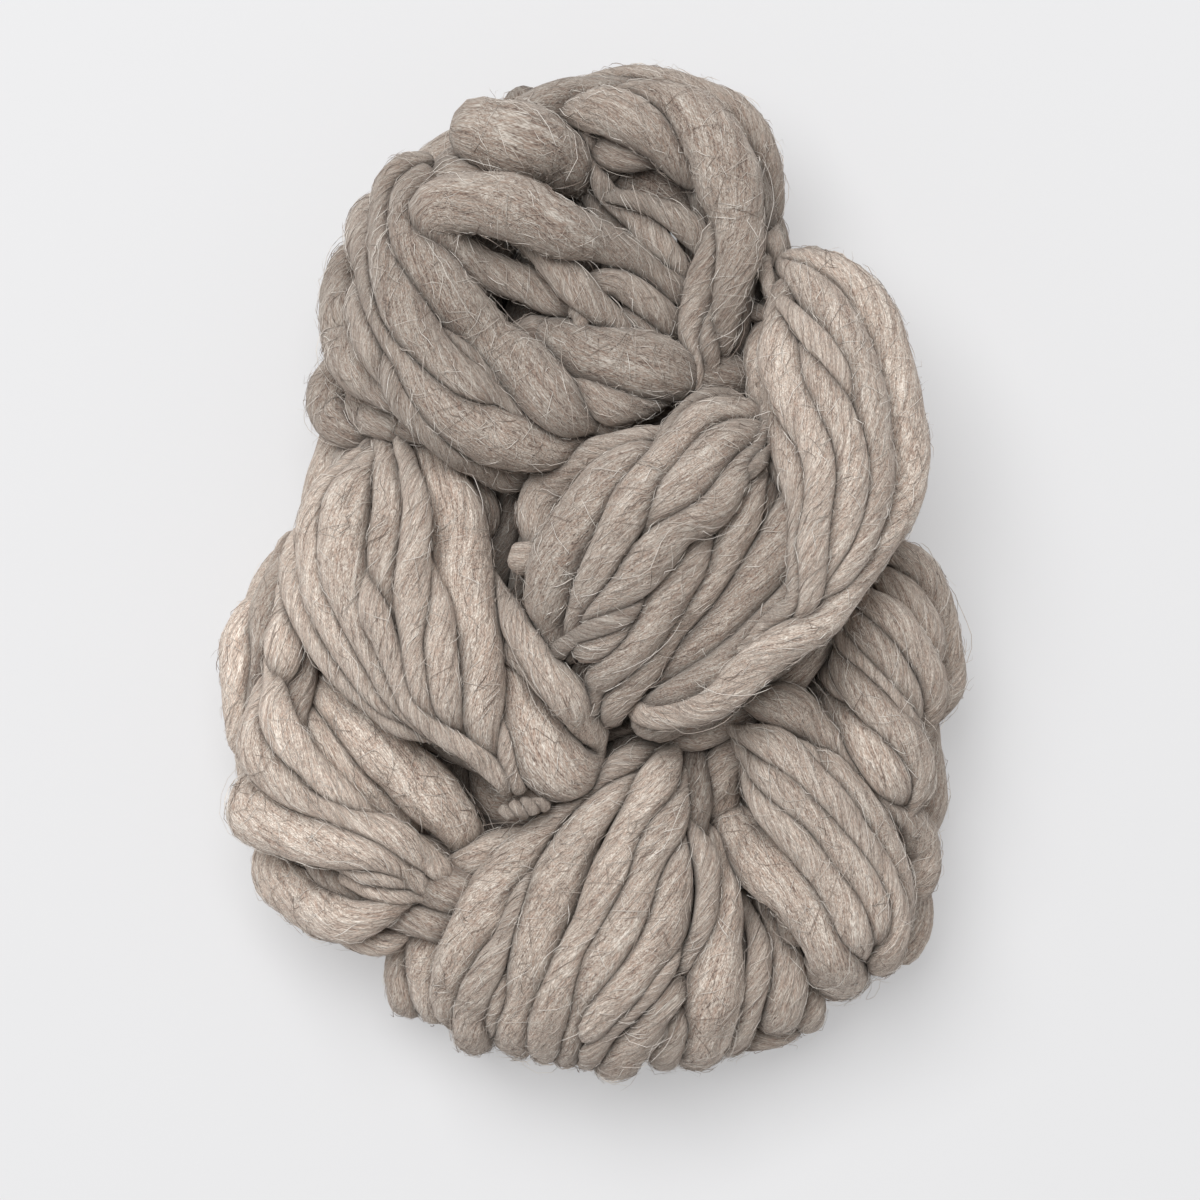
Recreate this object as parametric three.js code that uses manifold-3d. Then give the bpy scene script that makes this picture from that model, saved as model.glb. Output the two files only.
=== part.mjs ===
// A twisted hank of very thick, single, thick-and-thin wool yarn, lying on a table.
// The hank is one length of yarn wound into a ring, twisted, folded on itself and tucked,
// so it is one solid here: its folds are fat bundles that pass over and under each other.
// Millimetres, +Z up. The origin is on the table, under the middle of the hank.
import * as THREE from "three";
import { ParametricGeometry } from "three/addons/geometries/ParametricGeometry.js";
import { mergeVertices } from "three/addons/utils/BufferGeometryUtils.js";
import Module from "manifold-3d";

const strandThick = 12.5; // usual thickness of the yarn, which sets how far apart the turns lie
const grooveDepth = 1.8; // how deep the groove between two neighbouring turns is
const pointsPerStrand = 3; // one point in the groove and two on the turn's back
const ringStep = 9.5; // mean distance between two sections of a bundle
const endCrowding = 0.45; // how much closer together they are at its ends, from 0 to 1
const tableReach = 400; // size of the block that trims the underside flat

// Each bundle is a row for each of its sections. x, y and z are the middle of the section,
// wide is half its width across the bundle, and tall is half its height.
// start and end are the lengths over which the two ends close, and turn is the twist in degrees.
const bundles = {
  head: {
    start: 16,
    end: 16,
    turn: 50,
    rows: [
      { x: 30, y: 32, z: 30, wide: 14, tall: 26 },
      { x: 33, y: 62, z: 38, wide: 14, tall: 31 },
      { x: 33, y: 89, z: 40, wide: 15, tall: 31 },
      { x: 21, y: 105, z: 39, wide: 14, tall: 28 },
      { x: 0, y: 107, z: 38, wide: 13, tall: 27 },
      { x: -20, y: 99, z: 38, wide: 17, tall: 31 },
      { x: -34, y: 84, z: 38, wide: 22, tall: 36 },
      { x: -40, y: 65, z: 40, wide: 24, tall: 39 },
      { x: -38, y: 47, z: 41, wide: 28, tall: 40 },
      { x: -22, y: 39, z: 42, wide: 21, tall: 39 },
      { x: 0, y: 41, z: 40, wide: 18, tall: 37 },
      { x: 20, y: 47, z: 36, wide: 17, tall: 33 },
      { x: 37, y: 54, z: 32, wide: 16, tall: 28 },
    ],
  },
  heart: {
    start: 24,
    end: 24,
    turn: 0,
    rows: [
      { x: 6, y: 94, z: 28, wide: 24, tall: 28 },
      { x: 0, y: 60, z: 28, wide: 36, tall: 31 },
      { x: 0, y: 20, z: 28, wide: 48, tall: 31 },
      { x: -4, y: -20, z: 28, wide: 54, tall: 31 },
      { x: 4, y: -70, z: 26, wide: 38, tall: 28 },
    ],
  },
  right: {
    start: 22,
    end: 18,
    turn: 50,
    rows: [
      { x: 45, y: 80, z: 34, wide: 18, tall: 28 },
      { x: 53, y: 58, z: 42, wide: 22, tall: 34 },
      { x: 58, y: 36, z: 48, wide: 23, tall: 38 },
      { x: 54, y: 14, z: 52, wide: 24, tall: 39 },
      { x: 41, y: -8, z: 53, wide: 24, tall: 39 },
      { x: 24, y: -26, z: 52, wide: 20, tall: 35 },
      { x: 8, y: -36, z: 48, wide: 14, tall: 28 },
    ],
  },
  middle: {
    start: 18,
    end: 16,
    turn: 45,
    rows: [
      { x: 50, y: 34, z: 42, wide: 18, tall: 26 },
      { x: 34, y: 24, z: 50, wide: 24, tall: 35 },
      { x: 16, y: 11, z: 52, wide: 29, tall: 37 },
      { x: 5, y: -5, z: 51, wide: 29, tall: 36 },
      { x: 3, y: -22, z: 48, wide: 23, tall: 33 },
      { x: 6, y: -38, z: 42, wide: 16, tall: 27 },
    ],
  },
  left: {
    start: 14,
    end: 14,
    turn: 35,
    rows: [
      { x: -38, y: 44, z: 32, wide: 22, tall: 28 },
      { x: -46, y: 22, z: 38, wide: 27, tall: 33 },
      { x: -47, y: 4, z: 40, wide: 28, tall: 34 },
      { x: -43, y: -14, z: 40, wide: 28, tall: 34 },
      { x: -31, y: -31, z: 40, wide: 24, tall: 32 },
      { x: -14, y: -43, z: 40, wide: 17, tall: 29 },
      { x: 1, y: -50, z: 38, wide: 12, tall: 25 },
    ],
  },
  corner: {
    start: 12,
    end: 16,
    turn: 40,
    rows: [
      { x: -64, y: 8, z: 26, wide: 12, tall: 24 },
      { x: -74, y: -12, z: 28, wide: 14, tall: 27 },
      { x: -73, y: -32, z: 30, wide: 17, tall: 30 },
      { x: -66, y: -55, z: 30, wide: 22, tall: 31 },
      { x: -54, y: -71, z: 30, wide: 24, tall: 31 },
      { x: -32, y: -78, z: 28, wide: 21, tall: 28 },
      { x: -10, y: -80, z: 26, wide: 18, tall: 24 },
    ],
  },
  foot: {
    start: 14,
    end: 26,
    turn: 10,
    rows: [
      { x: 20, y: -34, z: 30, wide: 22, tall: 28 },
      { x: 12, y: -62, z: 30, wide: 36, tall: 32 },
      { x: 6, y: -86, z: 30, wide: 49, tall: 33 },
      { x: 4, y: -104, z: 28, wide: 52, tall: 31 },
      { x: 3, y: -121, z: 25, wide: 50, tall: 28 },
    ],
  },
  heel: {
    start: 16,
    end: 22,
    turn: 25,
    rows: [
      { x: 26, y: -26, z: 30, wide: 16, tall: 29 },
      { x: 42, y: -42, z: 32, wide: 21, tall: 31 },
      { x: 54, y: -62, z: 32, wide: 26, tall: 32 },
      { x: 58, y: -84, z: 30, wide: 27, tall: 31 },
      { x: 52, y: -105, z: 27, wide: 24, tall: 28 },
    ],
  },
  side: {
    start: 18,
    end: 20,
    turn: 35,
    rows: [
      { x: 58, y: 16, z: 28, wide: 20, tall: 27 },
      { x: 66, y: -8, z: 30, wide: 20, tall: 29 },
      { x: 70, y: -32, z: 30, wide: 18, tall: 30 },
      { x: 68, y: -56, z: 30, wide: 19, tall: 30 },
      { x: 64, y: -80, z: 28, wide: 18, tall: 27 },
    ],
  },
};

// The middle and the half sizes of a bundle's section, at share t of its length.
function sectionAt(curves, t) {
  const place = curves.place.getPoint(t);
  const size = curves.size.getPoint(t);
  return { place, wide: size.x, tall: size.y };
}

// How much of its full size a section keeps at distance d from an end that closes over length.
function closing(d, length) {
  if (d >= length) return 1;
  const gone = 1 - d / length;
  return Math.sqrt(Math.max(0, 1 - gone * gone));
}

// One bundle as a closed skin: its turns run along it and twist round it.
function bundleGeometry({ start, end, turn, rows }) {
  const curves = {
    place: new THREE.CatmullRomCurve3(rows.map((r) => new THREE.Vector3(r.x, r.y, r.z))),
    size: new THREE.CatmullRomCurve3(rows.map((r) => new THREE.Vector3(r.wide, r.tall, 0))),
  };
  const length = curves.place.getLength();
  const halfSize = rows[Math.floor(rows.length / 2)];
  const strands = Math.round((Math.PI * (halfSize.wide + halfSize.tall)) / strandThick);
  const around = strands * pointsPerStrand;
  const along = Math.round(length / ringStep);
  const up = new THREE.Vector3(0, 0, 1);

  const skin = (u, v, target) => {
    // The sections crowd towards both ends, where the skin closes.
    const t = v - (endCrowding * Math.sin(2 * Math.PI * v)) / (2 * Math.PI);
    const { place, wide, tall } = sectionAt(curves, t);
    const ahead = curves.place.getTangent(t).setZ(0).normalize();
    const side = new THREE.Vector3().crossVectors(up, ahead);
    const keep = closing(t * length, start) * closing((1 - t) * length, end);
    const inGroove = Math.round(u * around) % pointsPerStrand === 0;
    const depth = inGroove ? grooveDepth * keep : 0;
    const angle = 2 * Math.PI * (u % 1) + THREE.MathUtils.degToRad(turn) * t;
    target
      .copy(place)
      .addScaledVector(side, (wide - depth) * keep * Math.cos(angle))
      .addScaledVector(up, (tall - depth) * keep * Math.sin(angle));
  };
  return new ParametricGeometry(skin, around, along);
}

// The flat-sided block above the table, which trims every bundle flat where it lies.
function aboveTable() {
  const block = new THREE.BoxGeometry(tableReach, tableReach, tableReach);
  return block.translate(0, 0, tableReach / 2);
}

const wasm = await Module();
wasm.setup();

// A three.js geometry as a solid: shared points are merged and collapsed triangles dropped.
function toSolid(geometry) {
  const bare = geometry.clone();
  bare.deleteAttribute("normal");
  bare.deleteAttribute("uv");
  const merged = mergeVertices(bare, 1e-3);
  const corners = merged.index.array;
  const kept = [];
  for (let i = 0; i < corners.length; i += 3) {
    const [a, b, c] = corners.subarray(i, i + 3);
    if (a !== b && b !== c && c !== a) kept.push(a, b, c);
  }
  const mesh = new wasm.Mesh({
    numProp: 3,
    vertProperties: merged.attributes.position.array,
    triVerts: new Uint32Array(kept),
  });
  return new wasm.Manifold(mesh);
}

// The outer skin of a solid, with any pocket that is sealed inside it filled.
function withoutPockets(solid) {
  const shells = solid.decompose();
  return shells.reduce((best, shell) => (shell.volume() > best.volume() ? shell : best));
}

function toGeometry(solid) {
  const { numProp, numVert, vertProperties, triVerts } = solid.getMesh();
  const positions = new Float32Array(numVert * 3);
  for (let i = 0; i < numVert; i++) {
    positions.set(vertProperties.subarray(i * numProp, i * numProp + 3), i * 3);
  }
  const geometry = new THREE.BufferGeometry();
  geometry.setAttribute("position", new THREE.BufferAttribute(positions, 3));
  geometry.setIndex(new THREE.BufferAttribute(triVerts, 1));
  geometry.computeVertexNormals();
  return geometry;
}

function hankSolid() {
  const folds = Object.values(bundles).map((bundle) => toSolid(bundleGeometry(bundle)));
  const wound = folds.reduce((all, fold) => all.add(fold));
  return withoutPockets(wound.intersect(toSolid(aboveTable())));
}

const wool = new THREE.MeshStandardMaterial({ color: 0xa89a8e, roughness: 0.95, metalness: 0 });
const hank = new THREE.Mesh(toGeometry(hankSolid()), wool);
hank.name = "hank";

const part = new THREE.Group();
part.add(hank);

export default part;
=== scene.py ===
import math

import bpy
import bmesh
import numpy as np
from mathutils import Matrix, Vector
from mathutils.bvhtree import BVHTree


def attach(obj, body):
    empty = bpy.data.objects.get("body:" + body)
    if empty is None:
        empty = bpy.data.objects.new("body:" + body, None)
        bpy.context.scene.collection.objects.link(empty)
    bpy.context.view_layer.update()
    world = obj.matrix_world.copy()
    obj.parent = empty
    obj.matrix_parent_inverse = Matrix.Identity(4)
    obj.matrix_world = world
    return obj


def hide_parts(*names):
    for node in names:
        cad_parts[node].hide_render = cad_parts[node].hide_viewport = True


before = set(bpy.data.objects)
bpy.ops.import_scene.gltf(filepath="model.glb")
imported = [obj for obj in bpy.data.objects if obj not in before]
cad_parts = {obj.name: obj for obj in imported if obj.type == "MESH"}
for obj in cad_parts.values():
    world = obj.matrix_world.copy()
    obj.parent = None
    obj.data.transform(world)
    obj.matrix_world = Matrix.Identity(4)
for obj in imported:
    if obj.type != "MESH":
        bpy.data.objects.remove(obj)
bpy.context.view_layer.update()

# How the photo's frame, which is 1200 by 1200 pixels, lies over the table.
photo = {
    "size": 1200,
    "centre": (600, 600),   # the pixel straight under the camera
    "origin": (591, 570),   # the pixel where the part's origin is
    "mmPerPixel": 0.24,     # how wide a pixel is
    "levelHeight": 40,      # at this height in mm above the table
    "cameraHeight": 1500,   # in mm above the table
}

# The folds of the hank, in mm, as the CAD part has them. A row is a section: x, y and z of its
# middle, half its width and half its height. start and end are the lengths over which a fold
# closes, and turn is the twist of its turns in degrees.
folds = {
    "head": {"start": 16, "end": 16, "turn": 50, "rows": [
        (30, 32, 30, 14, 26), (33, 62, 38, 14, 31), (33, 89, 40, 15, 31), (21, 105, 39, 14, 28),
        (0, 107, 38, 13, 27), (-20, 99, 38, 17, 31), (-34, 84, 38, 22, 36), (-40, 65, 40, 24, 39),
        (-38, 47, 41, 28, 40), (-22, 39, 42, 21, 39), (0, 41, 40, 18, 37), (20, 47, 36, 17, 33),
        (37, 54, 32, 16, 28)]},
    "heart": {"start": 24, "end": 24, "turn": 0, "rows": [
        (6, 94, 28, 24, 28), (0, 60, 28, 36, 31), (0, 20, 28, 48, 31), (-4, -20, 28, 54, 31),
        (4, -70, 26, 38, 28)]},
    "right": {"start": 22, "end": 18, "turn": 50, "rows": [
        (45, 80, 34, 18, 28), (53, 58, 42, 22, 34), (58, 36, 48, 23, 38), (54, 14, 52, 24, 39),
        (41, -8, 53, 24, 39), (24, -26, 52, 20, 35), (8, -36, 48, 14, 28)]},
    "middle": {"start": 18, "end": 16, "turn": 45, "rows": [
        (50, 34, 42, 18, 26), (34, 24, 50, 24, 35), (16, 11, 52, 29, 37), (5, -5, 51, 29, 36),
        (3, -22, 48, 23, 33), (6, -38, 42, 16, 27)]},
    "left": {"start": 14, "end": 14, "turn": 35, "rows": [
        (-38, 44, 32, 22, 28), (-46, 22, 38, 27, 33), (-47, 4, 40, 28, 34), (-43, -14, 40, 28, 34),
        (-31, -31, 40, 24, 32), (-14, -43, 40, 17, 29), (1, -50, 38, 12, 25)]},
    "corner": {"start": 12, "end": 16, "turn": 40, "rows": [
        (-64, 8, 26, 12, 24), (-74, -12, 28, 14, 27), (-73, -32, 30, 17, 30), (-66, -55, 30, 22, 31),
        (-54, -71, 30, 24, 31), (-32, -78, 28, 21, 28), (-10, -80, 26, 18, 24)]},
    "foot": {"start": 14, "end": 26, "turn": 10, "rows": [
        (20, -34, 30, 22, 28), (12, -62, 30, 36, 32), (6, -86, 30, 49, 33), (4, -104, 28, 52, 31),
        (3, -121, 25, 50, 28)]},
    "heel": {"start": 16, "end": 22, "turn": 25, "rows": [
        (26, -26, 30, 16, 29), (42, -42, 32, 21, 31), (54, -62, 32, 26, 32), (58, -84, 30, 27, 31),
        (52, -105, 27, 24, 28)]},
    "side": {"start": 18, "end": 20, "turn": 35, "rows": [
        (58, 16, 28, 20, 27), (66, -8, 30, 20, 29), (70, -32, 30, 18, 30), (68, -56, 30, 19, 30),
        (64, -80, 28, 18, 27)]},
}

# Each visible turn of the yarn: the photo's pixel x and y of its middle, and its width in mm.
# A turn lies on its own fold's surface. lift raises it above that, in mm, over names a fold that it
# lies on as well, and height gives the heights in mm, spread evenly along it, of one that hangs free.
# blunt names the ends that show, and spring is how often a curled-up one winds round its own line.
# tone makes a turn's wool lighter or darker than its fold's: painted light where the turn lies more
# in the light, and painted shade where it lies under or behind other turns.
headTurns = {
    "shade": {"toneAndPaintedShading": 0.65, "height": (38, 40, 38), "line": [
        (585, 190, 9), (620, 186, 12), (660, 192, 13), (700, 212, 11), (712, 245, 8)]},
    "stub": {"lift": 6, "blunt": "start", "line": [
        (478, 133, 14.4), (510, 140, 15.5), (545, 153, 15), (572, 178, 11.5), (588, 208, 6)]},
    "behindStub": {"lift": -4, "line": [(428, 182, 5), (447, 170, 7.5), (470, 166, 8), (495, 170, 7)]},
    "brow": {"height": (54, 56, 58, 60, 62, 66, 72, 75, 74, 72, 66, 59, 53), "line": [
        (640, 334, 4), (622, 322, 5), (600, 308, 5.5), (560, 297, 6.5), (535, 288, 7), (500, 274, 7.5),
        (470, 262, 8), (446, 249, 9), (430, 233, 10), (429, 214, 11), (452, 203, 12), (490, 204, 12.5),
        (530, 215, 12.5), (565, 232, 11.5), (593, 242, 9), (625, 257, 6.5), (645, 275, 5.5),
        (662, 294, 4.5)]},
    "browTip": {"height": (63, 60, 54), "line": [
        (600, 264, 6), (625, 285, 6.5), (645, 300, 7), (665, 315, 6), (677, 325, 4)]},
    "browUnder": {"height": (58, 58, 54), "line": [
        (608, 298, 5), (628, 312, 5.5), (650, 328, 5.5), (672, 342, 4.5)]},
    "knuckle": {"height": (60, 65, 66, 62), "line": [
        (540, 250, 5), (560, 268, 7), (580, 284, 7.5), (600, 296, 7)]},
    "sash": {"blunt": "start", "toneAndPaintedShading": 0.85, "line": [
        (420, 170, 5), (409, 180, 6), (402, 195, 7), (408, 225, 8.5), (422, 258, 10.5), (440, 288, 12),
        (482, 332, 12.3), (522, 370, 13), (558, 402, 11.5), (592, 428, 8)]},
    "upperRun": {"toneAndPaintedShading": 0.86, "height": (56, 62, 67, 68, 65), "line": [
        (545, 305, 8), (558, 332, 10), (585, 352, 13), (620, 362, 14), (655, 368, 13), (690, 378, 11)]},
    "lowerRun": {"line": [(575, 385, 5), (600, 405, 8.5), (635, 407, 7), (668, 403, 4.5)]},
    "sashUnder": {"blunt": "start", "line": [
        (424, 162, 4.5), (406, 167, 6), (392, 181, 6), (384, 205, 6), (382, 235, 6.5), (388, 262, 8),
        (398, 295, 9.5), (415, 330, 10), (440, 358, 9), (468, 382, 8), (495, 398, 5)]},
    "sashShade": {"toneAndPaintedShading": 0.85, "lift": -3, "line": [
        (428, 322, 4), (452, 350, 6), (478, 378, 7), (500, 395, 5)]},
    "rim": {"toneAndPaintedShading": 1.06, "line": [
        (365, 195, 6.5), (359, 225, 7), (362, 258, 5), (366, 292, 4), (377, 325, 4.5), (396, 355, 6),
        (415, 385, 9), (440, 408, 11), (480, 428, 13.5), (520, 440, 13.5), (560, 447, 11),
        (600, 440, 7)]},
    "rimUnder": {"line": [
        (384, 340, 4), (392, 370, 5), (403, 395, 5.5), (425, 420, 5.5), (450, 443, 6), (480, 464, 7),
        (515, 478, 6.5), (540, 470, 5)]},
    "cheek": {"line": [(352, 280, 6), (358, 310, 6.5), (368, 340, 6.5), (382, 368, 5.5), (396, 390, 4)]},
    "cheekOuter": {"line": [
        (345, 240, 5), (338, 275, 6.5), (335, 310, 8), (342, 345, 9), (360, 375, 8), (382, 395, 6),
        (402, 410, 3.5)]},
    "jaw": {"line": [(325, 352, 5), (320, 378, 8), (325, 405, 11), (345, 428, 10), (375, 438, 6)]},
    "jawInner": {"line": [(345, 398, 5), (370, 415, 9), (400, 427, 8), (432, 440, 4)]},
    "arcInner": {"line": [
        (590, 103, 8), (612, 108, 10), (640, 125, 10.5), (665, 145, 9.5), (678, 168, 8), (680, 188, 5)]},
    "arcOuter": {"blunt": "start", "height": (40, 44, 46, 47, 47, 46, 44, 42, 38, 34), "line": [
        (556, 114, 4), (575, 99, 6), (610, 84, 5), (655, 82, 6), (700, 93, 6), (735, 115, 7),
        (758, 148, 7), (768, 185, 6.5), (768, 220, 5.5), (762, 250, 4), (750, 275, 3.5)]},
    "arcMain": {"line": [
        (600, 88, 4), (640, 88, 6), (675, 100, 9), (700, 122, 11), (720, 155, 12), (730, 190, 12.5),
        (738, 225, 10), (740, 250, 9), (733, 280, 7.5), (725, 310, 6),
        (718, 340, 5), (712, 365, 4.5)]},
    "drop": {"line": [
        (709, 215, 3.5), (709, 245, 5), (702, 275, 7), (697, 305, 7), (692, 335, 6), (690, 365, 6),
        (691, 390, 5.5), (694, 408, 5)]},
    "dropOuter": {"line": [(716, 300, 3), (712, 330, 5), (708, 355, 6), (706, 380, 6), (707, 398, 5)]},
    "button": {"toneAndPaintedShading": 0.92, "height": (50, 54, 54, 50), "line": [
        (590, 165, 6), (610, 167, 7), (632, 167, 7), (655, 172, 5)]},
    "buttonBehind": {"toneAndPaintedShading": 0.75, "height": (44, 46, 45), "line": [
        (590, 150, 6), (615, 143, 6), (645, 150, 6), (660, 165, 5)]},
    "thinArc": {"height": (57, 56, 54), "line": [
        (602, 200, 2.5), (625, 199, 3.5), (645, 205, 4), (665, 215, 5), (685, 228, 6), (697, 245, 6),
        (698, 262, 4)]},
    "innerLoop": {"height": (51, 53, 55, 54, 50), "line": [
        (612, 222, 4.5), (632, 225, 6.5), (652, 238, 6), (670, 255, 5.5), (678, 272, 5), (672, 290, 5.5),
        (668, 305, 5)]},
    "innerStrand": {"toneAndPaintedShading": 0.8, "height": (46, 47, 47), "line": [
        (605, 238, 4), (625, 255, 4.5), (643, 275, 4)]},
    "behindArc": {"blunt": "both", "toneAndPaintedShading": 0.8, "height": (50, 52, 50), "line": [
        (575, 128, 5), (590, 140, 5), (597, 155, 4)]},
}

rightTurns = {
    "outer": {"toneAndPaintedShading": 1.03, "line": [
        (772, 262, 5), (806, 266, 6.5), (843, 280, 8), (869, 310, 9), (889, 352, 9.5), (900, 398, 9.5),
        (904, 447, 9.5), (900, 490, 9.5), (884, 525, 9.5), (862, 557, 9.5), (838, 588, 9),
        (812, 615, 8.5), (785, 637, 8), (760, 660, 7.5), (737, 685, 7.5), (715, 705, 6.5),
        (692, 720, 4.5)]},
    "second": {"line": [
        (780, 262, 5), (805, 280, 8), (828, 310, 9.5), (845, 345, 10), (862, 385, 9.5), (873, 425, 8),
        (876, 465, 8), (870, 505, 8), (852, 545, 8), (838, 572, 7), (822, 598, 6), (806, 622, 5),
        (786, 645, 4)]},
    "wedge": {"line": [
        (765, 297, 3.5), (785, 308, 4), (805, 328, 5), (825, 352, 6), (845, 380, 5), (858, 408, 4)]},
    "inner": {"line": [
        (752, 330, 7), (752, 360, 10), (762, 395, 11), (778, 430, 10.5), (795, 465, 8.5), (803, 500, 7),
        (803, 535, 5.5), (804, 565, 5), (803, 592, 4.5), (797, 615, 4),
        (784, 637, 3.5)]},
    "third": {"line": [
        (775, 325, 7), (785, 360, 10), (800, 400, 10), (812, 435, 8), (820, 470, 7), (818, 505, 6),
        (812, 540, 6.5), (811, 570, 6), (808, 598, 5.5), (802, 620, 4.5),
        (790, 640, 4)]},
    "fourth": {"line": [
        (800, 345, 6), (815, 375, 8), (832, 410, 8.5), (848, 445, 8.5), (852, 480, 8.5), (845, 520, 9),
        (832, 555, 8.5), (820, 585, 7.5), (808, 610, 6), (793, 632, 5),
        (774, 652, 4)]},
}

middleTurns = {
    "crease": {"line": [
        (742, 393, 4), (718, 392, 4.5), (697, 402, 4.5), (682, 420, 4), (668, 440, 4), (650, 455, 3)]},
    "first": {"line": [
        (668, 428, 5), (640, 437, 5.5), (605, 450, 7), (570, 468, 9), (545, 492, 9.5), (532, 520, 8),
        (530, 545, 6)]},
    "broad": {"line": [
        (665, 442, 4), (640, 460, 8), (610, 488, 11), (585, 520, 12.5), (563, 555, 12.5),
        (548, 590, 12), (540, 615, 9)]},
    "top": {"line": [
        (738, 408, 8), (705, 418, 8.5), (680, 445, 10), (655, 480, 11.5), (632, 512, 10), (612, 545, 8),
        (597, 575, 7.5), (580, 605, 7)]},
    "topSecond": {"line": [
        (750, 430, 7), (722, 438, 9), (697, 462, 11), (672, 490, 10), (650, 512, 7), (632, 530, 5)]},
    "centre": {"line": [
        (752, 452, 5), (735, 478, 7), (712, 508, 8.5), (680, 525, 8), (655, 553, 9), (630, 583, 8),
        (605, 607, 6.5), (585, 625, 5)]},
    "tuck": {"line": [(765, 458, 3), (748, 470, 3.5), (738, 485, 3)]},
    "thin": {"line": [(650, 598, 3.5), (625, 614, 4.5), (600, 627, 4.5), (575, 638, 4)]},
    "low": {"line": [(655, 612, 4), (632, 626, 6.5), (605, 640, 7.5), (580, 646, 7), (565, 645, 5)]},
    "longInner": {"line": [
        (715, 545, 4), (700, 562, 6.5), (678, 588, 8), (655, 612, 8.5), (630, 640, 8.5), (610, 663, 8),
        (597, 685, 6.5)]},
    "long": {"toneAndPaintedShading": 1.05, "line": [
        (760, 478, 5), (748, 505, 8), (738, 535, 8.5), (722, 565, 8.5), (700, 595, 8.5),
        (677, 622, 8.5), (655, 650, 8.5), (633, 675, 8), (615, 700, 7), (608, 718, 4.5)]},
    "longOuter": {"toneAndPaintedShading": 1.12, "line": [
        (775, 490, 4.5), (769, 520, 7.5), (762, 550, 9), (748, 580, 9), (728, 610, 9), (706, 638, 9),
        (685, 665, 9), (662, 692, 9), (640, 715, 8), (622, 727, 5)]},
    "edge": {"toneAndPaintedShading": 1.15, "line": [
        (786, 545, 3.5), (784, 575, 5), (774, 605, 7), (757, 633, 8), (737, 660, 8.5), (715, 683, 8.5),
        (692, 702, 8), (670, 716, 6)]},
    "edgeOuter": {"toneAndPaintedShading": 1.15, "line": [
        (762, 437, 3.5), (775, 458, 5), (786, 485, 5), (793, 515, 4.5), (797, 545, 4.5), (798, 575, 5),
        (790, 605, 6), (775, 633, 6.5), (756, 660, 7), (735, 685, 7), (712, 705, 6), (690, 720, 4)]},
    "nub": {"blunt": "end", "toneAndPaintedShading": 1.25, "height": (55, 62, 66, 68, 67), "line": [
        (498, 562, 3), (506, 559, 4), (514, 556, 6.5), (521, 555, 7.5), (527, 556, 6.5)]},
}

leftTurns = {
    "outer": {"toneAndPaintedShading": 1.08, "line": [
        (299, 524, 5), (293, 540, 6), (291, 562, 6.2), (296, 590, 7), (305, 617, 6), (317, 642, 5),
        (331, 665, 5), (350, 688, 4.5), (372, 707, 4), (400, 730, 3.5), (430, 742, 3)]},
    "second": {"toneAndPaintedShading": 1.05, "line": [
        (325, 470, 5), (316, 495, 6.5), (313, 525, 7), (318, 560, 8.5), (326, 600, 9), (335, 630, 8),
        (350, 660, 7), (370, 690, 6), (392, 716, 5), (412, 738, 4)]},
    "third": {"line": [
        (356, 466, 6), (347, 495, 10), (343, 525, 11), (343, 560, 10.5), (350, 595, 10),
        (362, 630, 8.5), (376, 660, 7), (390, 688, 5.5), (408, 712, 4.5), (428, 735, 4), (445, 752, 3)]},
    "fourth": {"line": [
        (362, 580, 4.5), (370, 605, 6), (381, 632, 6.5), (391, 655, 6), (400, 680, 5.5), (410, 703, 5),
        (428, 722, 4.5), (448, 737, 4.5), (475, 752, 5), (497, 772, 5), (508, 790, 4.5)]},
    "recessed": {"lift": -3, "line": [
        (378, 462, 6), (388, 490, 8), (391, 520, 9), (386, 550, 8.5), (384, 580, 7.5), (390, 605, 5.5),
        (397, 630, 4)]},
    "fifth": {"line": [
        (408, 462, 4), (413, 485, 5), (416, 515, 6), (414, 545, 7), (412, 580, 7.5), (413, 615, 7),
        (412, 650, 6), (417, 675, 6.5), (425, 705, 6), (440, 725, 4.5)]},
    "sixth": {"line": [
        (432, 570, 4.5), (437, 600, 6), (437, 640, 8), (441, 680, 8), (448, 710, 6.5), (462, 732, 4)]},
    "broad": {"line": [
        (440, 468, 8), (452, 500, 11), (461, 535, 12.5), (466, 570, 12.5), (472, 605, 11.5),
        (478, 640, 11), (480, 690, 10), (480, 720, 8.5), (487, 745, 5.5), (495, 765, 3)]},
    "inner": {"lift": -5, "line": [(470, 478, 5), (482, 500, 7), (492, 525, 7.5), (499, 548, 6)]},
    "across": {"over": "middle", "line": [
        (492, 565, 4), (500, 590, 4.5), (510, 612, 5.5), (525, 635, 6.5), (541, 657, 7),
        (558, 680, 7.5), (573, 700, 8.5), (588, 718, 8.5), (600, 735, 5)]},
    "acrossUnder": {"over": "middle", "lift": -2, "line": [
        (512, 632, 4), (525, 655, 4.5), (540, 680, 4.5), (552, 700, 5), (562, 722, 4)]},
    "drip": {"blunt": "end", "line": [
        (508, 645, 4), (514, 670, 7.5), (522, 700, 11), (533, 730, 14), (549, 757, 15),
        (568, 768, 14), (584, 762, 11)]},
    "dripSide": {"line": [(500, 722, 3), (503, 745, 4), (508, 768, 4.5), (516, 790, 4)]},
    "shade": {"toneAndPaintedShading": 0.6, "height": (30, 32, 31), "line": [
        (462, 792, 9), (505, 800, 14), (545, 792, 14), (590, 775, 10)]},
    "coil": {"spring": 3.5, "height": (59, 60, 60, 59), "line": [
        (505, 813, 3), (514, 810, 5.6), (532, 806, 5.6), (544, 803, 3)]},
}

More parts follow.
